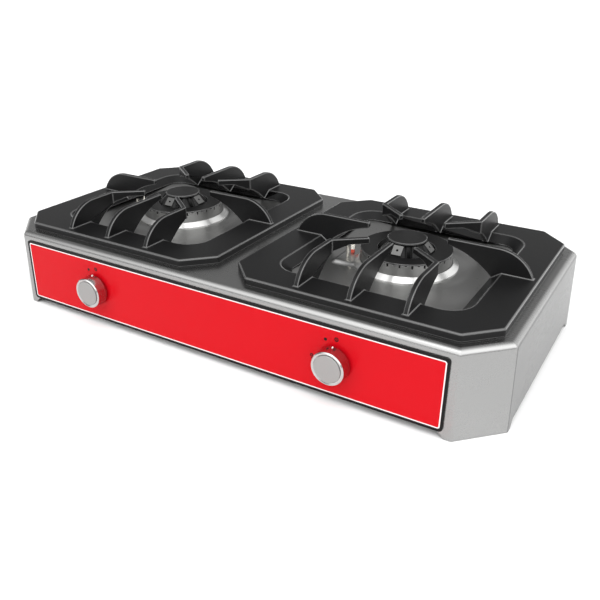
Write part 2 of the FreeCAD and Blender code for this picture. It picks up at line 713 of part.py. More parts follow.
def make_panel():
    """Glass front panel in its black edge trim, leaning with the front wall."""
    lean = FreeCAD.Rotation(V(1, 0, 0), -value("wall_flare"))
    wall_y = "-(body_half_depth + (wall_top - panel_mid) * tan(wall_flare))"
    outlines = {
        "panel_trim": ("panel_half_width", "panel_half_height", "panel_corner", "trim_depth"),
        "front_panel": ("glass_half_width", "glass_half_height", "panel_corner - trim_width / 2",
                        "glass_depth"),
    }
    for label, (half_x, half_z, corner, depth) in outlines.items():
        body = new_body(label)
        face = new_sketch(body, "XZ_Plane")
        draw_outline(face, rounded_square(half_x, half_z, "(%s)" % corner))
        extrude(body, "Pad", face, depth)
        opening = new_sketch(body, "XZ_Plane")
        if label == "panel_trim":
            inner = "(trim_width)"
            draw_outline(opening, rounded_square("(panel_half_width - %s)" % inner,
                                                 "(panel_half_height - %s)" % inner,
                                                 "(panel_corner - trim_width / 2)"))
        else:
            for _, sign in SIDES:
                draw_circle(opening, sign + "burner_x", "knob_height - panel_mid", "tap_bore")
        pocket(body, opening, Midplane=True)
        place(body, "0", wall_y, "panel_mid", lean)
        keep(body)


def make_well(side, x):
    """Pressed stainless well round a burner, with a raised boss for the igniter."""
    body = new_body("burner_well_" + side)
    flange = new_sketch(body, offset="well_top - well_sheet")
    draw_outline(flange, rounded_square("well_half", "well_half", "well_corner"))
    extrude(body, "Pad", flange, "well_sheet")
    hole = new_sketch(body, offset="well_top")
    draw_circle(hole, "0", "0", "dish_radius - 1")
    pocket(body, hole, "2 * well_sheet")
    upper = [("dish_radius", "well_top"), ("dish_shoulder", "dish_low + well_sheet / 2"),
             ("dish_low_radius", "dish_low"), ("lip_radius", "lip_top"), ("lip_bore", "lip_top")]
    lower = [(radius, "%s - well_sheet" % height) for radius, height in reversed(upper)]
    dish = new_sketch(body, "XZ_Plane")
    draw_outline(dish, upper + lower)
    turned = body.newObject("PartDesign::Revolution", body.Label + "_dish")
    turned.Profile = dish
    turned.ReferenceAxis = (dish, ["V_Axis"])
    turned.Angle = FULL_TURN
    boss = new_sketch(body, offset="dish_low - well_sheet / 2")
    draw_outline(boss, boss_outline("0"))
    extrude(body, "Pad", boss, "boss_top - dish_low + well_sheet / 2")
    round_edges(body, "2 * well_sheet", is_level_at("boss_top"))
    under = new_sketch(body, offset="dish_low - 2 * well_sheet")
    draw_outline(under, boss_outline("well_sheet"))
    pocket(body, under, "boss_top - dish_low + well_sheet", Reversed=True)
    holes = new_sketch(body, offset="boss_top")
    draw_circle(holes, "-spark_x", "-spark_y", "ceramic_radius + head_gap")
    draw_circle(holes, "-probe_x", "-probe_y", "probe_radius + head_gap")
    pocket(body, holes, "4 * well_sheet")
    place(body, x)
    keep(body)


def boss_outline(inset):
    """Outline of the ignition boss beside the collar ring."""
    inner = "-(ring_foot + skirt_gap + %s)" % inset
    half = "(boss_half_width - %s)" % inset
    corner_x = "-(boss_reach - %s - 10)" % inset
    centre_y = "-(spark_y + probe_y) / 2"
    return [(inner, "%s + %s" % (centre_y, half)), (corner_x, "%s + %s" % (centre_y, half), "-14"),
            ("-(boss_reach - %s)" % inset, "%s + %s - 10" % (centre_y, half)),
            ("-(boss_reach - %s)" % inset, "%s - %s + 10" % (centre_y, half), "-14"),
            (corner_x, "%s - %s" % (centre_y, half)), (inner, "%s - %s" % (centre_y, half))]


def make_bracket(side, x):
    """Folded strip from the front wall to the back wall, which carries a burner."""
    body = new_body("burner_bracket_" + side)
    end = "(body_half_depth + (wall_top - bracket_end) * tan(wall_flare) - wall_sheet - thread_gap)"
    inside = "(%s - bracket_sheet)" % end
    strip = new_sketch(body, "YZ_Plane")
    draw_outline(strip, [("-" + end, "bracket_end"), ("-" + end, "bracket_low"), (end, "bracket_low"),
                         (end, "bracket_end"), (inside, "bracket_end"),
                         (inside, "bracket_low + bracket_sheet"),
                         ("-" + inside, "bracket_low + bracket_sheet"), ("-" + inside, "bracket_end")])
    extrude(body, "Pad", strip, "2 * bracket_half", Midplane=True)
    holes = new_sketch(body, "XZ_Plane")
    for sign in ("", "-"):
        draw_circle(holes, sign + "bracket_half / 2", "(bracket_low + bracket_end) / 2",
                    "screw_radius + thread_gap")
    pocket(body, holes)
    taps = new_sketch(body, offset="bracket_low")
    for sign in ("", "-"):
        draw_circle(taps, sign + "tap_foot_half / 2", "-rail_y - rail_radius - 2 * screw_radius",
                    "screw_radius + thread_gap")
    pocket(body, taps, "2 * bracket_sheet", Reversed=True)
    place(body, x)
    keep(body)


def make_bracket_screws():
    """Pan head screws through the back wall into the brackets' ends."""
    screws = []
    lean = "(wall_top - (bracket_low + bracket_end) / 2) * tan(wall_flare)"
    wall = "body_half_depth + %s" % lean
    for index, (x, z) in enumerate(bracket_screw_spots()):
        head = cylinder("bracket_head%d" % index, "screw_head_radius", "screw_head", x,
                        wall + " + lean_gap", z, ALONG_Y)
        shank = cylinder("bracket_shank%d" % index, "screw_radius", "6 * wall_sheet", x,
                         wall + " - 5 * wall_sheet", z, ALONG_Y)
        screws.append(joined("bracket_screw%d" % index, [head, shank]))
    grouped("bracket_screws", screws)


def make_pot(side, x):
    """Cast burner pot with its mixing tube, central gas tube and two feet."""
    label = "burner_body_" + side
    body = revolve(label, [
        ("chimney_bore", "pot_low"), ("pot_foot", "pot_low"), ("pot_radius", "pot_waist"),
        ("pot_radius", "flange_low"), ("pot_flange", "flange_low"), ("pot_flange", "lip_low"),
        ("pot_radius", "lip_low"), ("pot_radius", "ring_seat"), ("pot_radius - pot_wall", "ring_seat"),
        ("pot_radius - pot_wall", "pot_waist + pot_wall / 2"), ("pot_foot - pot_wall / 2", "pot_low + pot_wall"),
        ("shoulder_radius", "pot_low + pot_wall"), ("shoulder_radius", "shoulder_top"),
        ("chimney_radius", "shoulder_top"), ("chimney_radius", "chimney_top"),
        ("chimney_bore", "chimney_top")])
    tube = new_sketch(body, "XZ_Plane", "pot_foot + pot_wall")
    draw_circle(tube, "0", "knob_height", "venturi_radius")
    extrude(body, "Pad", tube, "venturi_mouth - pot_foot - pot_wall")
    bell = new_sketch(body, "XZ_Plane", "venturi_mouth - venturi_radius / 2")
    draw_circle(bell, "0", "knob_height", "venturi_bell")
    extrude(body, "Pad", bell, "venturi_radius / 2")
    bore = new_sketch(body, "XZ_Plane", "venturi_mouth")
    draw_circle(bore, "0", "knob_height", "venturi_bore")
    pocket(body, bore, "venturi_mouth - pot_foot + pot_wall")
    feet = new_sketch(body, offset="bracket_low + bracket_sheet")
    for sign in ("", "-"):
        draw_circle(feet, "0", sign + "post_reach", "post_radius")
    extrude(body, "Pad", feet, "pot_low - bracket_low - bracket_sheet + pot_wall / 2")
    place(body, x)
    keep(body)


def make_flame_ring(side, x):
    """Upright metal ring with large and small flame slots under its top edge."""
    body = revolve("flame_ring_" + side, [
        ("flame_bore", "ring_seat"), ("flame_radius", "ring_seat"), ("flame_radius", "flame_top"),
        ("flame_bore", "flame_top")])
    cuts = (("slot_width", "slot_depth", 0), ("small_slot_width", "small_slot_depth", 0.5))
    for width, depth, share in cuts:
        angle = share * FULL_TURN / value("slot_count")
        spot = FreeCAD.Placement(V(0, 0, 0), FreeCAD.Rotation(V(0, 1, 0), angle))
        slot = new_sketch(body, "XZ_Plane", spot=spot)
        draw_outline(slot, [("-%s / 2" % width, "flame_top - %s" % depth),
                            ("%s / 2" % width, "flame_top - %s" % depth),
                            ("%s / 2" % width, "flame_top + 1"), ("-%s / 2" % width, "flame_top + 1")])
        cut = pocket(body, slot, Midplane=True)
        pattern(body, cut, "slot_count / 2", FULL_TURN / 2)
    place(body, x)
    keep(body)


def make_collar_ring(side, x):
    """Polished ring with a bevel, which stands on the well's lip round the flame ring."""
    body = revolve("collar_ring_" + side, [
        ("ring_bore", "lip_top"), ("ring_foot", "lip_top"), ("ring_foot", "ring_bevel_low"),
        ("ring_bore + 1", "ring_top"), ("ring_bore", "ring_top")])
    place(body, x)
    keep(body)


def make_burner_cap(side, x):
    """Black cap ring on the flame ring, centred by a skirt."""
    body = revolve("burner_cap_" + side, [
        ("cap_bore", "flame_top - cap_dip"), ("skirt_radius - flame_wall", "flame_top - cap_dip"),
        ("skirt_radius - flame_wall", "flame_top - cap_skirt"), ("skirt_radius", "flame_top - cap_skirt"),
        ("skirt_radius", "flame_top"), ("cap_edge", "flame_top"), ("cap_edge", "cap_top - 0.4"),
        ("cap_edge - 0.4", "cap_top"), ("cap_bore", "cap_top - cap_dip")])
    place(body, x)
    keep(body)


def make_inner_burner(side, x):
    """Inner burner: a cone with four raised port pads and hollows beside them."""
    body = revolve("inner_burner_" + side, [
        ("head_bore", "shoulder_top"), ("shoulder_radius", "shoulder_top"),
        ("shoulder_radius", "head_base_top - 5"), ("head_base", "head_base_top - 3"),
        ("head_base", "head_base_top"), ("head_neck", "head_top"), ("head_bore", "head_top")])
    run = value("head_base - head_neck")
    drop = value("head_top - head_base_top")
    slope = math.hypot(run, drop)
    along, out = V(run / slope, 0, -drop / slope), V(drop / slope, 0, run / slope)
    neck = V(value("head_neck"), 0, value("head_top"))
    middle = neck + along * (value("port_start") + value("port_length") / 2)
    to_cone = FreeCAD.Rotation(V(0, 0, 1), along)
    for sign in (-1, 1):
        flute = body.newObject("PartDesign::SubtractiveCylinder", body.Label + "_flute")
        bind(flute, "Radius", "flute_radius")
        bind(flute, "Height", "2 * port_length")
        outer_end = neck + out * (value("flute_radius") / 5) - along * (value("port_length") / 2)
        swing = FreeCAD.Rotation(V(0, 0, 1), sign * value("flute_angle"))
        flute.Placement = FreeCAD.Placement(swing.multVec(outer_end), swing.multiply(to_cone))
        pattern(body, flute, "port_pads")
    pad_sketch = new_sketch(body, "XZ_Plane")
    tilt = "atan2(head_top - head_base_top; head_base - head_neck)"
    start, end = "port_start", "port_start + port_length"
    corners = [(start, "-2 * port_rise"), (end, "-2 * port_rise"), (end, "port_rise"), (start, "port_rise")]
    draw_outline(pad_sketch, [("head_neck + (%s) * cos(%s) + (%s) * sin(%s)" % (a, tilt, n, tilt),
                               "head_top - (%s) * sin(%s) + (%s) * cos(%s)" % (a, tilt, n, tilt))
                              for a, n in corners])
    pads = extrude(body, "Pad", pad_sketch, "2 * port_half_width", Midplane=True)
    pattern(body, pads, "port_pads")
    port = body.newObject("PartDesign::SubtractiveCylinder", body.Label + "_port")
    bind(port, "Radius", "port_radius")
    bind(port, "Height", "4 * port_rise")
    outwards = FreeCAD.Rotation(V(0, 0, 1), out)
    port.Placement = FreeCAD.Placement(middle - out * (2 * value("port_rise")), outwards)
    pattern(body, port, "port_pads")
    place(body, x)
    keep(body)


def make_inner_cap(side, x):
    """Black disc on the inner burner, with a spigot in its bore."""
    top = "(head_top + crown_thick)"
    body = revolve("inner_cap_" + side, [
        ("0", "head_top - crown_spigot_length"), ("crown_spigot", "head_top - crown_spigot_length"),
        ("crown_spigot", "head_top"), ("crown_radius - crown_bevel", "head_top"),
        ("crown_radius", "head_top + crown_bevel"), ("crown_radius", top + " - crown_bevel"),
        ("crown_radius - crown_bevel", top), ("0", top)])
    place(body, x)
    keep(body)


def fin_back(foot, tip):
    """Upper part of a fin's outline, from its foot over its back to its tip."""
    return [(foot, "skin_low + 0.7", "fin_radius"), ("fin_crest", "fin_top"),
            ("%s + fin_nose" % tip, "fin_top"), (tip, "fin_top - fin_nose"),
            (tip, "tip_low + fin_nose"), ("%s + fin_nose + 1" % tip, "tip_low")]


def fin_root():
    """Lower part of a fin's outline, inside the plate."""
    return [("mouth_low_x + 4.2", "mouth_low + 0.4"), ("mouth_half_x + 6", "skin_low + 0.7")]


def mirrored_outline(points, sign):
    """Flip an outline to the other side of the burner when the sign is minus."""
    if sign in ("", "+"):
        return points
    return [("-(%s)" % point[0], point[1]) + tuple("-(%s)" % radius for radius in point[2:])
            for point in points]


def add_fin(body, role, offset, points, sign):
    """Pad one fin across a plane."""
    sketch = new_sketch(body, role, offset)
    draw_outline(sketch, mirrored_outline(points, sign))
    extrude(body, "Pad", sketch, "fin_thick", Midplane=True)


def add_bent_fin(body, sign_x, sign_y):
    """Pad an outer fin: a straight stretch, a round bend, and a stretch to the tip."""
    straight = [("fin_foot", "skin_low + 0.7", "fin_radius"), ("fin_crest", "fin_top"),
                ("bend_y", "fin_top"), ("bend_y", "bend_low", "-fin_under_radius")] + fin_root()
    add_fin(body, "YZ_Plane", sign_x + "fin_pitch", straight, sign_y)
    bend = new_sketch(body, "XY_Plane", "bend_low")
    draw_circle(bend, sign_x + "fin_pitch", sign_y + "bend_y", "fin_thick / 2")
    extrude(body, "Pad", bend, "fin_top - bend_low")
    side_x, side_y = float(sign_x + "1"), float(sign_y + "1")
    across = side_x * value("bend_tip_x - fin_pitch")
    along = side_y * value("bend_tip_y - bend_y")
    angle = math.degrees(math.atan2(-across, along))
    corner = V(side_y * value("bend_y"), 0, side_x * value("fin_pitch"))
    spot = FreeCAD.Placement(corner, FreeCAD.Rotation(V(0, 1, 0), angle))
    tip = new_sketch(body, "YZ_Plane", spot=spot)
    draw_outline(tip, [("0", "bend_low"), ("bend_taper", "tip_low"), ("bend_length - fin_nose", "tip_low"),
                       ("bend_length", "tip_low + fin_nose"), ("bend_length", "fin_top - fin_nose"),
                       ("bend_length - fin_nose", "fin_top"), ("0", "fin_top")])
    extrude(body, "Pad", tip, "fin_thick", Midplane=True)


def make_support(side, x):
    """Enamelled pan support: a hollow plate with a sloped opening, and eight fins."""
    body = new_body("pan_support_" + side)
    plate = new_sketch(body, offset="plate_low")
    draw_outline(plate, octagon("support_half_x", "support_half_y", "support_cut"))
    extrude(body, "Pad", plate, "support_top - plate_low")
    round_edges(body, "support_round * 3", is_upright)
    round_edges(body, "support_round", is_level_at("support_top"))
    hollow = new_sketch(body, offset="plate_low")
    draw_outline(hollow, octagon("support_half_x", "support_half_y", "support_cut", "(-support_skin)"))
    pocket(body, hollow, "skin_low - plate_low", Reversed=True)
    skirt = new_sketch(body, offset="mouth_low")
    draw_outline(skirt, rounded_square("(mouth_half_x + support_skin)", "(mouth_half_y + support_skin)",
                                       "(mouth_corner + support_skin)"))
    extrude(body, "Pad", skirt, "support_top - mouth_low")
    opening = new_sketch(body, offset="mouth_low")
    draw_outline(opening, rounded_square("mouth_low_x", "mouth_low_y", "(mouth_corner - mouth_run / 2)"))
    funnel = pocket(body, opening, "support_top - mouth_low", Reversed=True)
    bind(funnel, "TaperAngle", "atan(mouth_run / (support_top - mouth_low))")
    for sign in ("", "-"):
        under = [("fin_thin", "tip_low", "-fin_under_radius")]
        middle = fin_back("fin_foot", "fin_tip")[:-1] + under + fin_root()
        add_fin(body, "YZ_Plane", "0", middle, sign)
        end = fin_back("fin_foot", "side_fin_tip")[:-1]
        end += [("side_fin_tip + fin_nose", "tip_low", "-fin_under_radius")] + fin_root()
        add_fin(body, "XZ_Plane", "0", end, sign)
        for sign_x in ("+", "-"):
            add_bent_fin(body, sign_x, sign or "+")
    place(body, x)
    keep(body)


def make_knob(side, x):
    """Hollow knob with a hub, and the metal disc in its face."""
    inner, bore = "(knob_radius - knob_wall)", "(spindle_radius + thread_gap)"
    seat, edge = "(knob_depth - face_thick)", "(knob_radius - knob_taper)"
    recess = "(disc_radius + disc_bevel)"
    knob = revolve("knob_" + side, [
        (bore, "hub_setback"), ("hub_radius", "hub_setback"), ("hub_radius", "hub_bore_depth"),
        (inner, "hub_bore_depth"), (inner, "0"), ("knob_radius", "0"),
        (edge, "knob_depth - knob_bevel"), (edge + " - knob_bevel", "knob_depth"),
        (recess, "knob_depth - knob_dish"), (recess, seat), ("0", seat),
        ("0", "hub_bore_depth + hub_room"), (bore, "hub_bore_depth + hub_room")])
    disc = revolve("knob_face_" + side, [
        ("0", seat), ("disc_radius", seat), ("disc_radius", "knob_depth - disc_bevel"),
        ("disc_radius - disc_bevel", "knob_depth"), ("0", "knob_depth")])
    for piece in (knob, disc):
        place(piece, x, "-knob_back", "knob_height", TO_FRONT)
        keep(piece)
    spindle = cylinder("valve_spindle_" + side, "spindle_radius", "knob_back + hub_bore_depth - spindle_end",
                       x, "-spindle_end", "knob_height", TO_FRONT)
    keep(spindle)


def make_tap(side, x):
    """Gas tap on the rail, with its cover, spring collar, return spring and jet."""
    height = "knob_height"
    barrel = cylinder("tap_barrel_" + side, "tap_radius", "tap_front - tap_back", "0", "-tap_back", height,
                      TO_FRONT)
    foot = block("tap_foot_" + side,
                 ("2 * tap_foot_half", "tap_foot_front - tap_back", "knob_height - tap_foot_low"),
                 "-tap_foot_half", "-tap_foot_front", "tap_foot_low")
    bore = cylinder("tap_bore_" + side, "tap_bore", "tap_front - tap_bore_end", "0", "-tap_bore_end", height,
                    TO_FRONT)
    outlet = cylinder("tap_outlet_" + side, "jet_radius + thread_gap", "tap_bore_end - tap_back + 1", "0",
                      "-tap_bore_end", height, ALONG_Y)
    rail = cylinder("tap_rail_" + side, "rail_radius + thread_gap", "4 * tap_foot_half", "-2 * tap_foot_half",
                    "-rail_y", "rail_height", ALONG_X)
    threads = []
    wide, deep = "screw_radius + thread_gap", "1.5 * screw_hold"
    for index, sign in enumerate(("", "-")):
        threads.append(cylinder("tap_thread%d_%s" % (index, side), wide, deep,
                                sign + "tap_foot_half / 2", "-rail_y - rail_radius - 2 * screw_radius",
                                "tap_foot_low", FreeCAD.Rotation()))
        threads.append(cylinder("cover_thread%d_%s" % (index, side), wide, deep, "0",
                                "-tap_front + 1.5 * screw_hold",
                                "knob_height %s cover_screw" % (sign or "+"), TO_FRONT))
    saddle = cylinder("tap_saddle_" + side, "piezo_radius + thread_gap", "tap_front - tap_back", "-piezo_x",
                      "-tap_back", height, TO_FRONT)
    solid = joined("tap_solid_" + side, [barrel, foot])
    tap = cut_from("valve_body_" + side, solid, [bore, outlet, rail, saddle] + threads)
    place(tap, x)
    keep(tap)
    make_tap_cover(side, x)
    collar = cut_from("valve_plunger_" + side,
                      cylinder("collar_disc_" + side, "collar_radius", "collar_thick", "0", "-collar_back",
                               height, TO_FRONT),
                      [cylinder("collar_hole_" + side, "spindle_radius + spindle_gap", "collar_thick", "0",
                                "-collar_back", height, TO_FRONT)])
    place(collar, x)
    keep(collar)
    make_spring(side, x)
    jet = revolve("gas_jet_" + side, [
        ("0.5", "-4"), ("jet_radius", "-4"), ("jet_radius", "0.1"), ("jet_hex", "0.1"),
        ("jet_hex", "jet_length / 2"), ("jet_radius", "jet_length / 2"), ("1.2", "jet_length"),
        ("0.5", "jet_length")])
    place(jet, x, "-tap_back", height, ALONG_Y)
    keep(jet)


def make_tap_cover(side, x):
    """Square plate on the front of a tap, with the spindle's running hole."""
    body = new_body("valve_cover_" + side)
    face = new_sketch(body, "XZ_Plane", "tap_front")
    half = "cover_half"
    draw_outline(face, rounded_square("tap_radius", half, "(cover_half / 4)"))
    extrude(body, "Pad", face, "cover_thick")
    holes = new_sketch(body, "XZ_Plane")
    draw_circle(holes, "0", "0", "spindle_radius + spindle_gap")
    for sign in ("+", "-"):
        draw_circle(holes, "0", sign + "cover_screw", "screw_radius + thread_gap")
    pocket(body, holes, Midplane=True)
    place(body, x, "0", "knob_height")
    keep(body)


def make_tap_screws():
    """Screws of the tap covers and of the taps' feet."""
    screws = []
    for side, sign in SIDES:
        axis = sign + "burner_x"
        for index, step in enumerate(("+", "-")):
            cover_z = "knob_height %s cover_screw" % step
            head = cylinder("cover_head%d_%s" % (index, side), "screw_head_radius", "screw_head", axis,
                            "-tap_front - cover_thick - thread_gap", cover_z, TO_FRONT)
            shank = cylinder("cover_shank%d_%s" % (index, side), "screw_radius",
                             "cover_thick + screw_hold + screw_head / 2", axis,
                             "-tap_front + screw_hold", cover_z, TO_FRONT)
            screws.append(joined("cover_screw%d_%s" % (index, side), [head, shank]))
            foot_x = "%s %s tap_foot_half / 2" % (axis, step)
            foot_y = "-rail_y - rail_radius - 2 * screw_radius"
            head = cylinder("foot_head%d_%s" % (index, side), "screw_head_radius", "screw_head", foot_x,
                            foot_y, "bracket_low - screw_head - thread_gap")
            shank = cylinder("foot_shank%d_%s" % (index, side), "screw_radius",
                             "bracket_sheet + screw_hold + screw_head / 2", foot_x, foot_y,
                             "bracket_low - screw_head / 2")
            screws.append(joined("foot_screw%d_%s" % (index, side), [head, shank]))
    grouped("valve_screws", screws)


def make_spring(side, x):
    """Return spring between the tap's bore and the spring collar."""
    body = new_body("valve_spring_" + side)
    wire = new_sketch(body, "XZ_Plane")
    draw_circle(wire, "spring_radius", "0", "spring_wire / 2")
    coil = body.newObject("PartDesign::AdditiveHelix", body.Label + "_coil")
    coil.Profile = wire
    coil.ReferenceAxis = (wire, ["V_Axis"])
    coil.Mode = "height-turns-angle"
    for prop, formula in (("Height", "collar_back - tap_bore_end - spring_wire"), ("Turns", "spring_turns")):
        setattr(coil, prop, value(formula))
        bind(coil, prop, formula)
    place(body, x, "-tap_bore_end - spring_wire / 2", "knob_height", TO_FRONT)
    keep(body)


def make_rail():
    """Gas rail along the front, elbow, supply pipe to the back, inlet and lock nut."""
    rail_length = "rail_left + pipe_x - elbow_half"
    outer = cylinder("rail_tube", "rail_radius", rail_length, "-rail_left", "-rail_y", "rail_height", ALONG_X)
    inner = cylinder("rail_hollow", "rail_bore", rail_length + " - rail_radius / 2",
                     "-rail_left + rail_radius / 2", "-rail_y", "rail_height", ALONG_X)
    keep(cut_from("gas_rail", outer, [inner]))
    side = "2 * elbow_half"
    cube = block("elbow_block", (side, side, side), "pipe_x - elbow_half", "-rail_y - elbow_half",
                 "rail_height - elbow_half")
    ways = [cylinder("elbow_way_x", "rail_bore", "elbow_half", "pipe_x - elbow_half", "-rail_y",
                     "rail_height", ALONG_X),
            cylinder("elbow_way_y", "rail_bore", "elbow_half + 1", "pipe_x", "-rail_y - 1",
                     "rail_height", ALONG_Y)]
    keep(cut_from("rail_elbow", cube, ways))
    wall = "(body_half_depth + (wall_top - rail_height) * tan(wall_flare) - wall_sheet)"
    start = "-rail_y + elbow_half"
    length = "%s + rail_y - elbow_half - inlet_root" % wall
    pipe = cylinder("pipe_tube", "rail_radius", length, "pipe_x", start, "rail_height", ALONG_Y)
    pipe_bore = cylinder("pipe_hollow", "rail_bore", length, "pipe_x", start, "rail_height", ALONG_Y)
    keep(cut_from("supply_pipe", pipe, [pipe_bore]))
    nut_face = "wall_sheet + inlet_room + inlet_nut_thick"
    inlet = revolve("gas_inlet", [
        ("inlet_bore", "-inlet_root"), ("inlet_nut", "-inlet_root"), ("inlet_nut", "-inlet_room"),
        ("inlet_neck", "-inlet_room"), ("inlet_neck", nut_face), ("inlet_radius", nut_face),
        ("inlet_radius", nut_face + " + inlet_length"), ("inlet_bore", nut_face + " + inlet_length")])
    place(inlet, "pipe_x", wall, "rail_height", ALONG_Y)
    keep(inlet)
    nut = new_body("inlet_nut")
    face = new_sketch(nut, "XY_Plane", "wall_sheet + inlet_room")
    draw_outline(face, [("inlet_nut * cos(%d)" % angle, "inlet_nut * sin(%d)" % angle)
                        for angle in range(30, 390, 60)])
    draw_circle(face, "0", "0", "inlet_neck + thread_gap")
    extrude(nut, "Pad", face, "inlet_nut_thick")
    place(nut, "pipe_x", wall, "rail_height", ALONG_Y)
    keep(nut)


def make_ignition(side, x):
    """Spark electrode, flame probe, the clip that holds them, igniter and its lead."""
    sleeve = cylinder("sleeve_" + side, "ceramic_radius", "ceramic_top - ceramic_low", "-spark_x",
                      "-spark_y", "ceramic_low")
    spike = cylinder("spike_" + side, "wire_radius", "spark_top - ceramic_low", "-spark_x", "-spark_y",
                     "ceramic_low")
    electrode = joined("spark_electrode_" + side, [sleeve, spike])
    probe = cylinder("flame_probe_" + side, "probe_radius", "probe_top - probe_low", "-probe_x + %s" % x,
                     "-probe_y", "probe_low")
    keep(probe)
    strip = block("clip_strip_" + side, ("clip_width", "probe_y - spark_y + 2 * clip_margin", "clip_thick"),
                  "-spark_x - clip_margin", "-probe_y - clip_margin", "clip_low")
    holes = [cylinder("clip_spark_" + side, "ceramic_radius + thread_gap", "2 * clip_thick", "-spark_x",
                      "-spark_y", "clip_low - clip_thick / 2"),
             cylinder("clip_probe_" + side, "probe_radius + thread_gap", "2 * clip_thick", "-probe_x",
                      "-probe_y", "clip_low - clip_thick / 2")]
    clip = cut_from("probe_clip_" + side, strip, holes)
    for piece in (electrode, clip):
        place(piece, x)
        keep(piece)
    piezo = cylinder("piezo_igniter_" + side, "piezo_radius", "tap_front - tap_back", "%s - piezo_x" % x,
                     "-tap_back", "knob_height", TO_FRONT)
    keep(piezo)
    axis, rear = V(value(x), 0, 0), value("-tap_back")
    spark = V(value("-spark_x"), value("-spark_y"), value("ceramic_low"))
    sensor = V(value("-probe_x"), value("-probe_y"), value("probe_low"))
    routes = {
        "ignition_lead_": ([V(value("-piezo_x"), rear + run, value("knob_height"))
                            for run in (0, value("lead_run"))] + LEAD_BENDS + [spark]),
        "probe_tube_": ([V(value("-probe_exit_x"), rear + run, value("knob_height + probe_exit_z"))
                         for run in (0, value("probe_run"))] + PROBE_BENDS + [sensor]),
    }
    for label, route in routes.items():
        keep(routed_tube(label + side, [axis + point for point in route]))


def routed_tube(label, points):
    """Sweep a thin lead along straight runs joined by tangent arcs."""
    radius = value("lead_radius")
    edges = []
    last = points[0]
    for before, corner, after in zip(points, points[1:], points[2:]):
        back, ahead = before - corner, after - corner
        turn = math.pi - back.getAngle(ahead)
        cut = 0.45 * min(back.Length, ahead.Length)
        back, ahead = back.normalize(), ahead.normalize()
        start, end = corner + back * cut, corner + ahead * cut
        bulge = (back + ahead).normalize()
        bend = cut / math.tan(turn / 2)
        centre = corner + bulge * (bend / math.cos(turn / 2))
        edges.append(Part.makeLine(last, start))
        edges.append(Part.Arc(start, centre - bulge * bend, end).toShape())
        last = end
    edges.append(Part.makeLine(last, points[-1]))
    path = Part.Wire(edges)
    ring = Part.Wire(Part.makeCircle(radius, points[0], points[1] - points[0]))
    tube = doc.addObject("Part::Feature", label)
    tube.Shape = path.makePipeShell([ring], True, False)
    expected = math.pi * radius ** 2 * path.Length
    if abs(tube.Shape.Volume - expected) > 0.01 * expected:
        raise RuntimeError(label + " has the wrong volume")
    return tube


def check_and_write():
    """Refuse a failed object, then write one file for each sub-part."""
    doc.recompute()
    for item in doc.Objects:
        if "Invalid" in item.State or "Error" in item.State:
            raise RuntimeError("%s failed: %s" % (item.Name, item.State))
    labels = [item.Label for item in PARTS]
    if len(set(labels)) != len(labels):
        raise RuntimeError("two sub-parts share a label")
    os.makedirs("parts", exist_ok=True)
    for item in PARTS:
        shape = item.Shape
        if shape.isNull() or not shape.isValid() or not shape.Solids:
            raise RuntimeError(item.Label + " has no valid solid")
        shape.exportStep("parts/%s.step" % item.Label)
        print("%-22s solids %2d  volume %10.1f" % (item.Label, len(shape.Solids), shape.Volume))


fill_sheet()
make_casing()
make_feet()
make_deck()
make_deck_nuts()
make_panel()
make_rail()
make_bracket_screws()
make_tap_screws()
for side_name, side_sign in SIDES:
    axis_x = "(%sburner_x)" % side_sign
    make_well(side_name, axis_x)
    make_bracket(side_name, axis_x)
    make_pot(side_name, axis_x)
    make_flame_ring(side_name, axis_x)
    make_collar_ring(side_name, axis_x)
    make_burner_cap(side_name, axis_x)
    make_inner_burner(side_name, axis_x)
    make_inner_cap(side_name, axis_x)
    make_support(side_name, axis_x)
    make_knob(side_name, axis_x)
    make_tap(side_name, axis_x)
    make_ignition(side_name, axis_x)
check_and_write()
print("%d sub-parts" % len(PARTS))
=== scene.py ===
"""Looks of a two-burner table-top camping stove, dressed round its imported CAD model.

Every length is in metres, in the stove's own frame: +Z is up, +X is to the right of
someone at the knobs, and the knobs face -Y.
"""

from __future__ import annotations

import logging
import math
from dataclasses import dataclass, field
from enum import Enum
from typing import Any, Sequence

import bmesh
import bpy
from mathutils import Matrix, Vector


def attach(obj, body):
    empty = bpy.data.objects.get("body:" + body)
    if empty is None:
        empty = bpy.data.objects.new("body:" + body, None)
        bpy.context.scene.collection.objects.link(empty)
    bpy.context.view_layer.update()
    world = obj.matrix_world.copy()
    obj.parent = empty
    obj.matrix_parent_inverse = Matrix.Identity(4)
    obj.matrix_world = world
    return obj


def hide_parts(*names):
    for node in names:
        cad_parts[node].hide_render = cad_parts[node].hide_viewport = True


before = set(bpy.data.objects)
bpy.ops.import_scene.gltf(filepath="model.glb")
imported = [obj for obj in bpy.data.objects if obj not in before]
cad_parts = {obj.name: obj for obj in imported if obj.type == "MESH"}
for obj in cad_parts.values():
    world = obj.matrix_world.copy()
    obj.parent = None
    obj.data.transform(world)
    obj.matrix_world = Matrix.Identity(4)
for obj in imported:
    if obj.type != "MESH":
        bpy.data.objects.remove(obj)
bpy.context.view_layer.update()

MM = 0.001
FULL_TURN = 2 * math.pi
BURNER_X = 177.6 * MM
REPORT = logging.getLogger("camping_stove")

EDGE_MARK = "rounded_edge"

Colour = tuple[float, float, float]
Point = tuple[float, float]


# ---------------------------------------------------------------------------
# Node trees
# ---------------------------------------------------------------------------


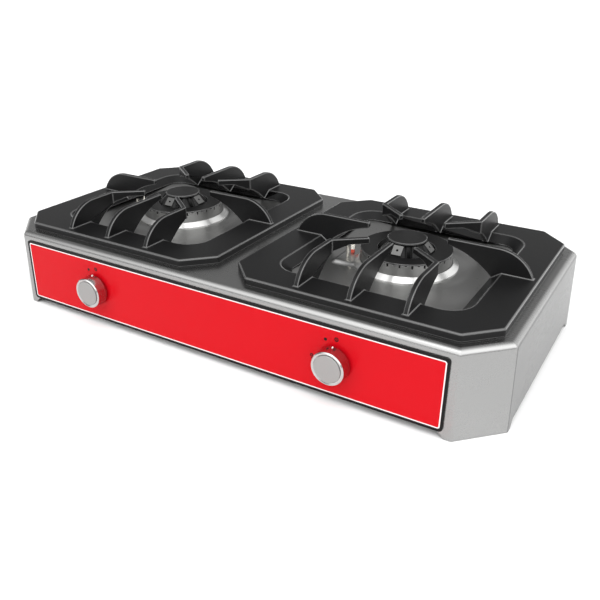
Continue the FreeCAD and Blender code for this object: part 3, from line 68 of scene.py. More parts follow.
class Term:
    """A value in a node tree that Python arithmetic acts on."""

    def __init__(self, maker: "TreeMaker", socket: bpy.types.NodeSocket) -> None:
        """Wrap one output socket."""
        self.maker = maker
        self.socket = socket

    def __add__(self, other: "Term | float") -> "Term":
        """self + other."""
        return self.maker.math("ADD", self, other)

    def __radd__(self, other: float) -> "Term":
        """other + self."""
        return self.maker.math("ADD", other, self)

    def __sub__(self, other: "Term | float") -> "Term":
        """self - other."""
        return self.maker.math("SUBTRACT", self, other)

    def __rsub__(self, other: float) -> "Term":
        """other - self."""
        return self.maker.math("SUBTRACT", other, self)

    def __mul__(self, other: "Term | float") -> "Term":
        """self * other."""
        return self.maker.math("MULTIPLY", self, other)

    def __rmul__(self, other: float) -> "Term":
        """other * self."""
        return self.maker.math("MULTIPLY", other, self)

    def __truediv__(self, other: "Term | float") -> "Term":
        """self / other."""
        return self.maker.math("DIVIDE", self, other)

    def __rtruediv__(self, other: float) -> "Term":
        """other / self."""
        return self.maker.math("DIVIDE", other, self)

    def __abs__(self) -> "Term":
        """Size of the value."""
        return self.maker.math("ABSOLUTE", self)

    def at_least(self, other: "Term | float") -> "Term":
        """The larger of the two."""
        return self.maker.math("MAXIMUM", self, other)

    def at_most(self, other: "Term | float") -> "Term":
        """The smaller of the two."""
        return self.maker.math("MINIMUM", self, other)

    def above(self, other: "Term | float") -> "Term":
        """1 where the value is greater, else 0."""
        return self.maker.math("GREATER_THAN", self, other)

    def ramp(self, start: float, end: float) -> "Term":
        """Smooth step from 0 at start to 1 at end."""
        settings = {"interpolation_type": "SMOOTHSTEP"}
        inputs = {"Value": self, "From Min": start, "From Max": end}
        return self.maker.term("ShaderNodeMapRange", settings, inputs)


class TreeMaker:
    """Builds a shader or geometry tree one node at a time."""

    def __init__(self, tree: bpy.types.NodeTree) -> None:
        """Work on an empty tree."""
        self.tree = tree

    def node(self, kind: str, settings: dict[str, Any] | None = None,
             inputs: dict[str | int, Any] | None = None) -> bpy.types.Node:
        """Add a node.

        Args:
            kind: The node's type.
            settings: Its properties, set first. "stops" sets a colour ramp.
            inputs: Values or links of its sockets, by name or number.

        Returns:
            The new node.
        """
        made = self.tree.nodes.new(kind)
        for name, choice in (settings or {}).items():
            if name == "stops":
                for stop, (place, colour) in zip(made.color_ramp.elements, choice):
                    stop.position, stop.color = place, (*colour, 1)
            else:
                setattr(made, name, choice)
        for key, given in (inputs or {}).items():
            if isinstance(given, Term):
                self.tree.links.new(given.socket, made.inputs[key])
            elif isinstance(given, bpy.types.NodeSocket):
                self.tree.links.new(given, made.inputs[key])
            else:
                made.inputs[key].default_value = given
        return made

    def term(self, kind: str, settings: dict[str, Any] | None = None,
             inputs: dict[str | int, Any] | None = None, output: str | int = 0) -> Term:
        """Add a node and wrap one of its outputs."""
        return Term(self, self.node(kind, settings, inputs).outputs[output])

    def math(self, operation: str, *values: "Term | float") -> Term:
        """Add a Math node on up to three values."""
        return self.term("ShaderNodeMath", {"operation": operation}, dict(enumerate(values)))

    def split(self, vector: Term) -> tuple[Term, Term, Term]:
        """Take a vector apart into x, y and z."""
        parts = self.node("ShaderNodeSeparateXYZ", {}, {0: vector}).outputs
        return Term(self, parts[0]), Term(self, parts[1]), Term(self, parts[2])

    def vector(self, x: "Term | float", y: "Term | float", z: "Term | float") -> Term:
        """Put x, y and z together."""
        return self.term("ShaderNodeCombineXYZ", {}, {0: x, 1: y, 2: z})

    def blend(self, share: Term, low: "Colour | Term", high: "Colour | Term") -> Term:
        """Mix two colours by a share from 0 to 1."""
        pair = {6: low, 7: high}
        ends = {key: (*c, 1) if isinstance(c, tuple) else c for key, c in pair.items()}
        return self.term("ShaderNodeMix", {"data_type": "RGBA"}, {0: share, **ends}, 2)

    def noise(self, place: Term, scale: float, detail: float = 2.0) -> Term:
        """Soft noise from 0 to 1."""
        inputs = {"Vector": place, "Scale": scale, "Detail": detail}
        return self.term("ShaderNodeTexNoise", {}, inputs)

    def stretched(self, place: Term, scale: Sequence[float]) -> Term:
        """Coordinates scaled on each axis."""
        return self.term("ShaderNodeMapping", {}, {"Vector": place, "Scale": scale})

    def bump(self, height: Term, depth: float, strength: float) -> Term:
        """Normal that follows a height, for a full height of that depth."""
        inputs = {"Height": height, "Distance": depth, "Strength": strength}
        return self.term("ShaderNodeBump", {}, inputs)


# ---------------------------------------------------------------------------
# Finishes
# ---------------------------------------------------------------------------


@dataclass(frozen=True)
class Finish:
    """A material with a colour and a gloss that vary a little over the surface."""

    name: str
    colour: Colour
    metallic: float = 0.0
    roughness: float = 0.5
    specular: float = 0.5
    coat: float = 0.0
    coat_roughness: float = 0.16
    cloud: float = 14.0
    spread: float = 0.06
    tint: float = 0.12
    grain: float = 900.0
    grain_depth: float = 0.00004

    def detail(self, maker: TreeMaker, place: Term) -> dict[str, Any]:
        """Make what varies over the surface.

        Args:
            maker: The shader tree's maker.
            place: Object coordinates.

        Returns:
            Values of the Principled shader's sockets.
        """
        cloud = maker.noise(place, self.cloud, 4)
        grain = maker.noise(place, self.grain, 2)
        low = tuple(channel * (1 - self.tint) for channel in self.colour)
        high = tuple(channel * (1 + self.tint) for channel in self.colour)
        return {"Base Color": maker.blend(cloud, low, high),
                "Roughness": self.roughness + (cloud + grain - 1) * self.spread,
                "Normal": maker.bump(grain, self.grain_depth, 0.3)}

    def material(self) -> bpy.types.Material:
        """Find or build the finish's material."""
        made = bpy.data.materials.get(self.name + "_finish")
        if made is not None:
            return made
        made = bpy.data.materials.new(self.name + "_finish")
        made.use_nodes = True
        made.diffuse_color = (*self.colour, 1)
        made.node_tree.nodes.clear()
        maker = TreeMaker(made.node_tree)
        place = maker.term("ShaderNodeTexCoord", output="Object")
        inputs = {"Metallic": self.metallic, "Specular IOR Level": self.specular,
                  "Coat Weight": self.coat, "Coat Roughness": self.coat_roughness}
        inputs.update(self.detail(maker, place))
        shader = maker.node("ShaderNodeBsdfPrincipled", {}, inputs)
        maker.node("ShaderNodeOutputMaterial", {}, {"Surface": shader.outputs[0]})
        return made


@dataclass(frozen=True)
class BrushedSteel(Finish):
    """Sheet steel with a fine straight brush, along X or, on the ends, along Y, and painted shade on the
    ends.
    """

    streak: float = 1600.0
    stretch: float = 60.0
    streak_depth: float = 0.00000022
    # Painted shade: share of the grey kept on the faces that look along X.
    end_shade_share: float = 0.48

    def detail(self, maker: TreeMaker, place: Term) -> dict[str, Any]:
        """Brush marks, a soft cloud of handling, a slight change of grey and painted shade that darkens the
        end faces.
        """
        along, across = self.streak / self.stretch, self.streak
        by_x = maker.noise(maker.stretched(place, (along, across, across)), 1.0, 3)
        by_y = maker.noise(maker.stretched(place, (across, along, across)), 1.0, 3)
        facing = maker.term("ShaderNodeNewGeometry", output="Normal")
        on_end = abs(maker.split(facing)[0]).ramp(0.8, 0.95)
        brush = by_x * (1 - on_end) + by_y * on_end
        cloud = maker.noise(place, self.cloud, 4)
        low = tuple(channel * (1 - self.tint) for channel in self.colour)
        high = tuple(channel * (1 + self.tint) for channel in self.colour)
        # Painted shade: the end faces are darkened to that share of the grey.
        end = tuple(channel * self.end_shade_share for channel in self.colour)
        grey = maker.blend(brush * 0.6 + cloud * 0.4, low, high)
        return {"Base Color": maker.blend(on_end, grey, end),
                "Roughness": self.roughness + (brush - 0.5) * self.spread + (cloud - 0.5) * 0.08,
                "Normal": maker.bump(brush, self.streak_depth, 0.12)}


@dataclass(frozen=True)
class TurnedMetal(Finish):
    """Metal faced on a lathe: fine rings about an upright or a level axis."""

    level: bool = False
    axis_height: float = 52.7 * MM
    rings: float = 2600.0
    ring_depth: float = 0.00001

    def detail(self, maker: TreeMaker, place: Term) -> dict[str, Any]:
        """Rings about the axis of the burner or the knob on either side."""
        x, y, z = maker.split(place)
        across = abs(x) - BURNER_X
        other = z - self.axis_height if self.level else y
        radius = maker.math("SQRT", across * across + other * other)
        ring = maker.noise(maker.vector(radius * self.rings, 0.0, 0.0), 1.0, 3)
        cloud = maker.noise(place, self.cloud * 4, 3)
        low = tuple(channel * (1 - self.tint) for channel in self.colour)
        high = tuple(channel * (1 + self.tint) for channel in self.colour)
        return {"Base Color": maker.blend(ring * 0.5 + cloud * 0.5, low, high),
                "Roughness": self.roughness + (ring - 0.5) * self.spread + (cloud - 0.5) * 0.05,
                "Normal": maker.bump(ring, self.ring_depth, 0.25)}


@dataclass(frozen=True)
class Enamel(Finish):
    """Satin black enamel that is glossier on rounded edges, with a painted grey highlight along them."""

    # Painted highlight: grey base colour laid on the marked rounded edges.
    edge_highlight: Colour = (0.06, 0.06, 0.06)
    edge_gloss: float = 1.0

    def detail(self, maker: TreeMaker, place: Term) -> dict[str, Any]:
        """Even cloud and grain, with a clear glaze and a painted grey highlight on the edges that carry the
        mark.
        """
        base = Finish.detail(self, maker, place)
        edge = maker.term("ShaderNodeAttribute", {"attribute_name": EDGE_MARK}, output="Fac")
        # Painted highlight: the marked rounded edges are tinted a lighter grey.
        base["Base Color"] = maker.blend(edge, base["Base Color"], self.edge_highlight)
        base["Coat Weight"] = edge * self.edge_gloss
        base["Roughness"] = base["Roughness"] - edge * 0.08
        return base


@dataclass(frozen=True)
class TwoTone(Finish):
    """Glazed ceramic that changes colour at a height."""

    lower: Colour = (0.55, 0.06, 0.03)
    border: float = 108.0 * MM

    def detail(self, maker: TreeMaker, place: Term) -> dict[str, Any]:
        """White glaze above the border and a red sleeve below it."""
        base = Finish.detail(self, maker, place)
        height = maker.split(place)[2]
        share = height.ramp(self.border - 0.4 * MM, self.border + 0.4 * MM)
        base["Base Color"] = maker.blend(share, self.lower, base["Base Color"])
        return base


class Look(Enum):
    """Finishes of the stove, by what they are on."""

    STEEL = BrushedSteel("stainless", (0.345, 0.345, 0.342), 1.0, 0.27, tint=0.05, spread=0.04, cloud=7.0)
    WELL = BrushedSteel("well_steel", (0.40, 0.40, 0.395), 1.0, 0.30, tint=0.05, spread=0.10, cloud=9.0)
    ZINC_SHEET = BrushedSteel("galvanised", (0.42, 0.44, 0.46), 1.0, 0.45, tint=0.12,
                              spread=0.2, cloud=40.0)
    FASTENER = Finish("zinc_fasteners", (0.55, 0.55, 0.53), 1.0, 0.33, cloud=120.0)
    RUBBER = Finish("rubber", (0.018, 0.018, 0.018), 0.0, 0.8, specular=0.2, grain_depth=0.0001)
    GLASS = Finish("red_glass", (0.51, 0.0032, 0.0085), 0.0, 0.25, specular=0.10, tint=0.03,
                   spread=0.02, cloud=5.0, grain=300.0, grain_depth=0.000004)
    TRIM = Finish("black_trim", (0.006, 0.006, 0.006), 0.0, 0.42, specular=0.15, tint=0.2)
    PRINT_WHITE = Finish("printed_white", (0.72, 0.72, 0.72), 0.0, 0.35, specular=0.2, tint=0.03)
    PRINT_BLACK = Finish("printed_black", (0.008, 0.006, 0.006), 0.0, 0.35, specular=0.1, tint=0.1)
    PIPE = BrushedSteel("pipe_steel", (0.40, 0.41, 0.42), 1.0, 0.38, tint=0.08)
    BRASS = Finish("brass", (0.62, 0.42, 0.16), 1.0, 0.30, cloud=60.0, tint=0.1)
    SPRING = Finish("spring_steel", (0.52, 0.52, 0.52), 1.0, 0.24, cloud=200.0)
    CAST = Finish("cast_pot", (0.16, 0.16, 0.16), 0.7, 0.55, cloud=60.0, tint=0.25, grain_depth=0.00015)
    FLAME = TurnedMetal("flame_metal", (0.30, 0.30, 0.295), 1.0, 0.38, tint=0.1, spread=0.15)
    POLISHED = TurnedMetal("polished_ring", (0.70, 0.70, 0.69), 1.0, 0.30, tint=0.03, spread=0.06)
    ENAMEL = Enamel("black_enamel", (0.0065, 0.0065, 0.0067), 0.0, 0.38, specular=0.20, cloud=22.0, tint=0.25,
                    spread=0.05, grain=420.0, grain_depth=0.00003)
    CAP = Enamel("cap_enamel", (0.0065, 0.0065, 0.0065), 0.0, 0.42, specular=0.16, cloud=40.0, tint=0.2,
                 grain=1500.0, grain_depth=0.00003)
    PAD = TurnedMetal("port_pads", (0.13, 0.13, 0.128), 1.0, 0.40, tint=0.2, spread=0.2)
    KNOB = TurnedMetal("knob_metal", (0.50, 0.50, 0.495), 1.0, 0.15, level=True, tint=0.03, spread=0.04)
    KNOB_DISC = TurnedMetal("knob_disc", (0.36, 0.36, 0.355), 1.0, 0.42, level=True, tint=0.03, spread=0.1)
    CERAMIC = TwoTone("ceramic", (0.80, 0.77, 0.70), 0.0, 0.22, specular=0.4, coat=0.4, tint=0.05)
    PROBE = Finish("probe_steel", (0.55, 0.53, 0.48), 1.0, 0.3, cloud=150.0)
    PLASTIC = Finish("igniter_plastic", (0.03, 0.03, 0.033), 0.0, 0.5, grain_depth=0.00006)
    LEAD = Finish("lead_rubber", (0.42, 0.03, 0.022), 0.0, 0.5, tint=0.1)
    COPPER = Finish("copper", (0.66, 0.31, 0.17), 1.0, 0.3, cloud=80.0, tint=0.15)


# ---------------------------------------------------------------------------
# Mesh helpers
# ---------------------------------------------------------------------------


def add_object(name: str, mesh: bpy.types.Mesh) -> bpy.types.Object:
    """Put a mesh into the scene as an object at the origin."""
    made = bpy.data.objects.new(name, mesh)
    bpy.context.scene.collection.objects.link(made)
    return made


def from_bmesh(name: str, work: bmesh.types.BMesh, smooth: bool = True) -> bpy.types.Object:
    """Turn a working mesh into an object with outward normals."""
    bmesh.ops.recalc_face_normals(work, faces=work.faces)
    mesh = bpy.data.meshes.new(name)
    work.to_mesh(mesh)
    work.free()
    if smooth:
        mesh.shade_smooth()
    return add_object(name, mesh)


def baked(piece: bpy.types.Object) -> bpy.types.Object:
    """Replace a piece's modifiers by the mesh that they make."""
    settled = piece.evaluated_get(bpy.context.evaluated_depsgraph_get())
    mesh = bpy.data.meshes.new_from_object(settled)
    mesh.name = piece.name
    piece.modifiers.clear()
    piece.data = mesh
    return piece


def mark_edges(piece: bpy.types.Object, widest: float = 0.66 * MM, turn: float = 6.0) -> None:
    """Mark the narrow faces of a piece's rounded edges for its finish.

    Args:
        piece: A finished mesh.
        widest: Mean width of the widest face that counts.
        turn: Least angle in degrees to a neighbour.
    """
    work = bmesh.new()
    work.from_mesh(piece.data)
    values = []
    for face in work.faces:
        narrow = 2 * face.calc_area() < widest * face.calc_perimeter()
        turned = any(edge.is_manifold and edge.calc_face_angle(0.0) > math.radians(turn)
                     and edge.calc_length() > 0.2 * face.calc_perimeter() for edge in face.edges)
        values.append(1.0 if narrow and turned else 0.0)
    work.free()
    mark = piece.data.attributes.new(EDGE_MARK, "FLOAT", "FACE")
    mark.data.foreach_set("value", values)


def soften(piece: bpy.types.Object, width: float, steps: int = 3, angle: float = 35.0,
           clamp: bool = True) -> None:
    """Round a piece's edges and keep its flat faces flat to the light."""
    edge = piece.modifiers.new("soft_edges", "BEVEL")
    edge.width, edge.segments = width, steps
    edge.limit_method, edge.angle_limit = "ANGLE", math.radians(angle)
    edge.use_clamp_overlap = clamp
    even_light(piece)


def even_light(piece: bpy.types.Object) -> None:
    """Weight a piece's normals by the area of its faces."""
    light = piece.modifiers.new("even_light", "WEIGHTED_NORMAL")
    light.keep_sharp = True
    light.weight = 90


def filleted(outline: Sequence[Sequence[float]], steps: int = 5) -> list[Point]:
    """Round the corners of a closed outline.

    Args:
        outline: Points (x, y) or (x, y, radius).
        steps: Pieces in each rounded corner.

    Returns:
        The outline's points, corners rounded.
    """
    made: list[Point] = []
    for index, corner in enumerate(outline):
        here = Vector(corner[:2])
        radius = corner[2] if len(corner) > 2 else 0.0
        if radius <= 0:
            made.append((here.x, here.y))
            continue
        back = Vector(outline[index - 1][:2]) - here
        ahead = Vector(outline[(index + 1) % len(outline)][:2]) - here
        half = back.angle(ahead) / 2
        cut = min(radius / math.tan(half), 0.45 * back.length, 0.45 * ahead.length)
        radius = cut * math.tan(half)
        centre = here + (back.normalized() + ahead.normalized()).normalized() * (radius / math.sin(half))
        start = here + back.normalized() * cut - centre
        end = here + ahead.normalized() * cut - centre
        sweep = math.atan2(start.x * end.y - start.y * end.x, start.dot(end))
        for step in range(steps + 1):
            turned = Matrix.Rotation(sweep * step / steps, 2) @ start
            made.append((centre.x + turned.x, centre.y + turned.y))
    return made


def lathe(name: str, outline: Sequence[Sequence[float]], spot: Matrix,
          segments: int = 128) -> bpy.types.Object:
    """Turn a closed outline of (radius, height) about an axis.

    Args:
        name: The piece's name.
        outline: Points (radius, height) or (radius, height, corner radius).
        spot: Where the axis stands; local +Z is the axis.
        segments: Pieces round the axis.

    Returns:
        A closed, evenly lit piece.
    """
    work = bmesh.new()
    points = filleted(outline)
    rings: list[list[bmesh.types.BMVert]] = []
    for radius, height in points:
        if radius < 1e-7:
            rings.append([work.verts.new(spot @ Vector((0, 0, height)))] * segments)
            continue
        turns = (FULL_TURN * step / segments for step in range(segments))
        rings.append([work.verts.new(spot @ Vector((radius * math.cos(t), radius * math.sin(t), height)))
                      for t in turns])
    for low, high in zip(rings, rings[1:] + rings[:1]):
        for step in range(segments):
            after = (step + 1) % segments
            corners = dict.fromkeys((low[step], low[after], high[after], high[step]))
            if len(corners) > 2:
                work.faces.new(list(corners))
    made = from_bmesh(name, work)
    even_light(made)
    return baked(made)


def upright(x: float, y: float = 0.0, z: float = 0.0) -> Matrix:
    """Place for a turned piece whose axis is +Z."""
    return Matrix.Translation((x, y, z))


def towards(x: float, y: float, z: float, sign: int) -> Matrix:
    """Place for a turned piece whose axis is level, towards +Y or -Y."""
    return Matrix.Translation((x, y, z)) @ Matrix.Rotation(-sign * math.pi / 2, 4, "X")


def node_mesh(node: str, flat_within: float = 0.6) -> bmesh.types.BMesh:
    """Copy a CAD node's mesh, joined up and with its flat faces made whole."""
    work = bmesh.new()
    work.from_mesh(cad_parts[node].data)
    bmesh.ops.remove_doubles(work, verts=work.verts, dist=2e-6)
    bmesh.ops.dissolve_limit(work, angle_limit=math.radians(flat_within), verts=work.verts,
                             edges=work.edges)
    return work


@dataclass
class Assembly:
    """A group of pieces that are built, dressed and reported together."""

    pieces: list[bpy.types.Object] = field(default_factory=list, init=False)

    def finish_piece(self, piece: bpy.types.Object, look: Look, body: str, slot: str,
                     *replaced: str) -> bpy.types.Object:
        """Dress a new piece and tie it to the frame.

        Args:
            piece: The finished piece.
            look: Its finish.
            body: The CAD body that it rides on.
            slot: The record's material slot; not used.
            *replaced: CAD nodes that it stands for.

        Returns:
            The same piece.
        """
        piece.data.materials.clear()
        piece.data.materials.append(look.value.material())
        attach(piece, body)
        if replaced:
            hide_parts(*replaced)
        self.pieces.append(piece)
        REPORT.info("%s: %d faces on %s", piece.name, len(piece.data.polygons), body)
        return piece

    def dress(self, look: Look, *nodes: str) -> None:
        """Give CAD nodes a finish."""
        for node in nodes:
            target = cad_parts[node]
            target.data.materials.clear()
            target.data.materials.append(look.value.material())
            REPORT.info("%s: dressed in %s", node, look.value.name)


# ---------------------------------------------------------------------------
# Geometry Nodes
# ---------------------------------------------------------------------------


class GeometryRecipe:
    """A Geometry Nodes tree with named sizes that turns an empty mesh into a piece."""

    def __init__(self, name: str, sizes: dict[str, float | int]) -> None:
        """Start the tree.

        Args:
            name: The tree's name.
            sizes: Named inputs and their values.
        """
        self.tree = bpy.data.node_groups.new(name, "GeometryNodeTree")
        self.maker = TreeMaker(self.tree)
        self.sizes = sizes
        face = self.tree.interface
        face.new_socket("Geometry", in_out="INPUT", socket_type="NodeSocketGeometry")
        self.keys: dict[str, str] = {}
        for size, value in sizes.items():
            kind = "NodeSocketInt" if isinstance(value, int) else "NodeSocketFloat"
            socket = face.new_socket(size, in_out="INPUT", socket_type=kind)
            self.keys[size] = socket.identifier
        face.new_socket("Geometry", in_out="OUTPUT", socket_type="NodeSocketGeometry")
        self.entry = self.maker.node("NodeGroupInput")

    def size(self, name: str) -> Term:
        """A named input as a term."""
        return Term(self.maker, self.entry.outputs[name])

    def make(self, name: str, shape: Term, look: Look) -> bpy.types.Object:
        """End the tree, run it and keep the mesh.

        Args:
            name: The piece's name.
            shape: The geometry to keep.
            look: Its finish.

        Returns:
            The piece as a plain mesh.
        """
        whole = self.maker.term("GeometryNodeRealizeInstances", {}, {0: shape})
        dressed = self.maker.term("GeometryNodeSetMaterial", {},
                                  {"Geometry": whole, "Material": look.value.material()})
        self.maker.node("NodeGroupOutput", {}, {0: dressed})
        piece = add_object(name, bpy.data.meshes.new(name))
        run = piece.modifiers.new("recipe", "NODES")
        run.node_group = self.tree
        for size, value in self.sizes.items():
            run[self.keys[size]] = value
        return baked(piece)


# ---------------------------------------------------------------------------
# Sub-assemblies
# ---------------------------------------------------------------------------


@dataclass
class Casing(Assembly):
    """Folded walls, pressed deck, panel, fasteners and feet."""

    lean: float = math.radians(1.8)
    glass_face: float = 1.4 * MM
    panel_middle: float = 51.825 * MM
    wall_y: float = -(180.6 + (104.8 - 51.825) * math.tan(math.radians(1.8))) * MM
    line_half_width: float = 301.2 * MM
    line_half_height: float = 39.72 * MM
    line_width: float = 1.3 * MM
    line_corner: float = 2.9 * MM
    print_thickness: float = 0.06 * MM

    def build(self) -> None:
        """Dress the CAD sheets and screws, and add the print."""
        self.dress(Look.STEEL, "body_shell", "top_deck")
        self.dress(Look.GLASS, "front_panel")
        self.dress(Look.TRIM, "panel_trim")
        self.dress(Look.RUBBER, "foot_pads")
        self.dress(Look.FASTENER, "deck_nuts", "bracket_screws", "valve_screws")
        self.pinstripe()
        self.marks()

    def on_glass(self, x: float, up: float, out: float = 0.0) -> Vector:
        """A point on the leaning glass.

        Args:
            x: Across the panel.
            up: Along the panel from its middle.
            out: Away from the glass's face.

        Returns:
            The point in the stove's frame.
        """
        depth = self.glass_face + out
        y = self.wall_y - depth * math.cos(self.lean) + up * math.sin(self.lean)
        z = self.panel_middle + up * math.cos(self.lean) + depth * math.sin(self.lean)
        return Vector((x, y, z))

    def plate(self, work: bmesh.types.BMesh, rings: Sequence[Sequence[Point]]) -> None:
        """Add a thin printed film between an outer and, if there is one, an inner ring."""
        layers = []
        for out in (0.0, self.print_thickness):
            layers.append([[work.verts.new(self.on_glass(x, up, out)) for x, up in ring] for ring in rings])
        low, high = layers
        count = len(rings[0])
        for step in range(count):
            after = (step + 1) % count
            if len(rings) == 2:
                for layer in layers:
                    work.faces.new((layer[0][step], layer[0][after], layer[1][after], layer[1][step]))
            for near, far in zip(low, high):
                work.faces.new((near[step], near[after], far[after], far[step]))
        if len(rings) == 1:
            for layer in layers:
                work.faces.new(layer[0])

    def pinstripe(self) -> None:
        """White line with round corners just inside the trim."""
        rings = []
        for inset in (0.0, self.line_width):
            x, up = self.line_half_width - inset, self.line_half_height - inset
            corner = max(self.line_corner - inset, 0.3 * MM)
            corners = [(x, -up, corner), (x, up, corner), (-x, up, corner), (-x, -up, corner)]
            rings.append(filleted(corners, 8))
        work = bmesh.new()
        self.plate(work, rings)
        self.finish_piece(from_bmesh("panel_pinstripe", work, False), Look.PRINT_WHITE, "root", "red_glass")

    def marks(self) -> None:
        """Off dot, flame ring and low-flame mark round each knob."""
        work = bmesh.new()
        for sign in (-1, 1):
            cx, cz = sign * BURNER_X, 52.7 * MM - self.panel_middle
            self.dot(work, cx - 12.0 * MM, cz + 24.4 * MM, 1.9 * MM)
            self.loop(work, cx + 1.3 * MM, cz + 27.5 * MM, 2.6 * MM, 1.3 * MM)
            self.dot(work, cx + 1.3 * MM, cz + 27.5 * MM, 0.7 * MM)
            self.loop(work, cx - 28.5 * MM, cz, 2.1 * MM, 0.9 * MM)
            self.dot(work, cx - 28.5 * MM, cz - 3.6 * MM, 0.9 * MM)
        self.finish_piece(from_bmesh("panel_marks", work, False), Look.PRINT_BLACK, "root", "red_glass")

    def circle(self, x: float, up: float, radius: float, count: int = 28) -> list[Point]:
        """Points of a circle on the panel."""
        turns = (FULL_TURN * step / count for step in range(count))
        return [(x + radius * math.cos(t), up + radius * math.sin(t)) for t in turns]

    def dot(self, work: bmesh.types.BMesh, x: float, up: float, radius: float) -> None:
        """Filled printed dot."""
        self.plate(work, [self.circle(x, up, radius)])

    def loop(self, work: bmesh.types.BMesh, x: float, up: float, outer: float, inner: float) -> None:
        """Printed ring."""
        self.plate(work, [self.circle(x, up, outer), self.circle(x, up, inner)])


@dataclass
class GasWorks(Assembly):
    """Pipes, taps, springs and brackets inside the casing, and the inlet behind it."""

    def build(self) -> None:
        """Dress the CAD pieces."""
        self.dress(Look.PIPE, "gas_rail", "supply_pipe", "rail_elbow")
        self.dress(Look.BRASS, "gas_inlet", "inlet_nut")
        for side in ("left", "right"):
            self.dress(Look.ZINC_SHEET, "burner_bracket_" + side, "probe_clip_" + side,
                       "valve_cover_" + side)
            self.dress(Look.BRASS, "valve_body_" + side, "gas_jet_" + side, "valve_plunger_" + side)
            self.dress(Look.SPRING, "valve_spring_" + side, "valve_spindle_" + side)
            self.dress(Look.PLASTIC, "piezo_igniter_" + side)
            self.dress(Look.LEAD, "ignition_lead_" + side)
            self.dress(Look.COPPER, "probe_tube_" + side)


@dataclass
class Knob(Assembly):
    """Push-and-turn knob with a bevelled rim, a turned face and a tick on its skirt."""

    side: str
    x: float
    axis_z: float = 52.7 * MM
    back_y: float = -187.1 * MM
    radius: float = 20.5 * MM
    taper: float = 0.5 * MM
    depth: float = 14.7 * MM
    wall: float = 1.9 * MM
    bevel: float = 1.2 * MM
    dish: float = 0.8 * MM
    disc_radius: float = 16.2 * MM
    disc_thick: float = 1.3 * MM
    disc_gap: float = 0.3 * MM
    hub: float = 6.5 * MM
    shaft: float = 3.03 * MM
    hub_back: float = 0.6 * MM
    hub_depth: float = 11.0 * MM

    def build(self) -> None:
        """Turn the knob and its face, and add the tick."""
        body = "knob_" + self.side
        spot = towards(self.x, self.back_y, self.axis_z, -1)
        front, seat = self.depth, self.depth - self.disc_thick
        rim, recess = self.radius - self.taper, self.disc_radius + self.disc_gap
        soft, fine = 0.5 * MM, 0.25 * MM
        skirt = lathe(body + "_skirt", [
            (self.shaft, self.hub_back), (self.hub, self.hub_back, fine), (self.hub, self.hub_depth, fine),
            (self.radius - self.wall, self.hub_depth, fine), (self.radius - self.wall, 0, fine),
            (self.radius, 0, fine), (rim, front - self.bevel, soft), (rim - self.bevel, front, soft),
            (recess, front - self.dish, fine), (recess, seat), (0, seat),
            (0, self.hub_depth + 0.4 * MM), (self.shaft, self.hub_depth + 0.4 * MM)], spot, 160)
        self.finish_piece(skirt, Look.KNOB, body, "knob_metal", body)
        face = lathe(body + "_disc", [
            (0, seat), (self.disc_radius, seat), (self.disc_radius, front - self.disc_gap, fine / 2),
            (self.disc_radius - self.disc_gap, front, fine / 2), (0, front)], spot, 160)
        self.finish_piece(face, Look.KNOB_DISC, body, "knob_disc", "knob_face_" + self.side)
        tick = self.tick()
        self.finish_piece(tick, Look.PRINT_WHITE, body, "knob_metal")

    def tick(self) -> bpy.types.Object:
        """Small white pointer on top of the skirt, at its back edge."""
        work = bmesh.new()
        bmesh.ops.create_uvsphere(work, u_segments=20, v_segments=12, radius=1.0)
        size = Matrix.Diagonal((0.7 * MM, 1.5 * MM, 1.3 * MM, 1))
        spot = Matrix.Translation((self.x, self.back_y - 1.8 * MM, self.axis_z + self.radius))
        bmesh.ops.transform(work, matrix=spot @ size, verts=work.verts)
        return from_bmesh("knob_%s_tick" % self.side, work)


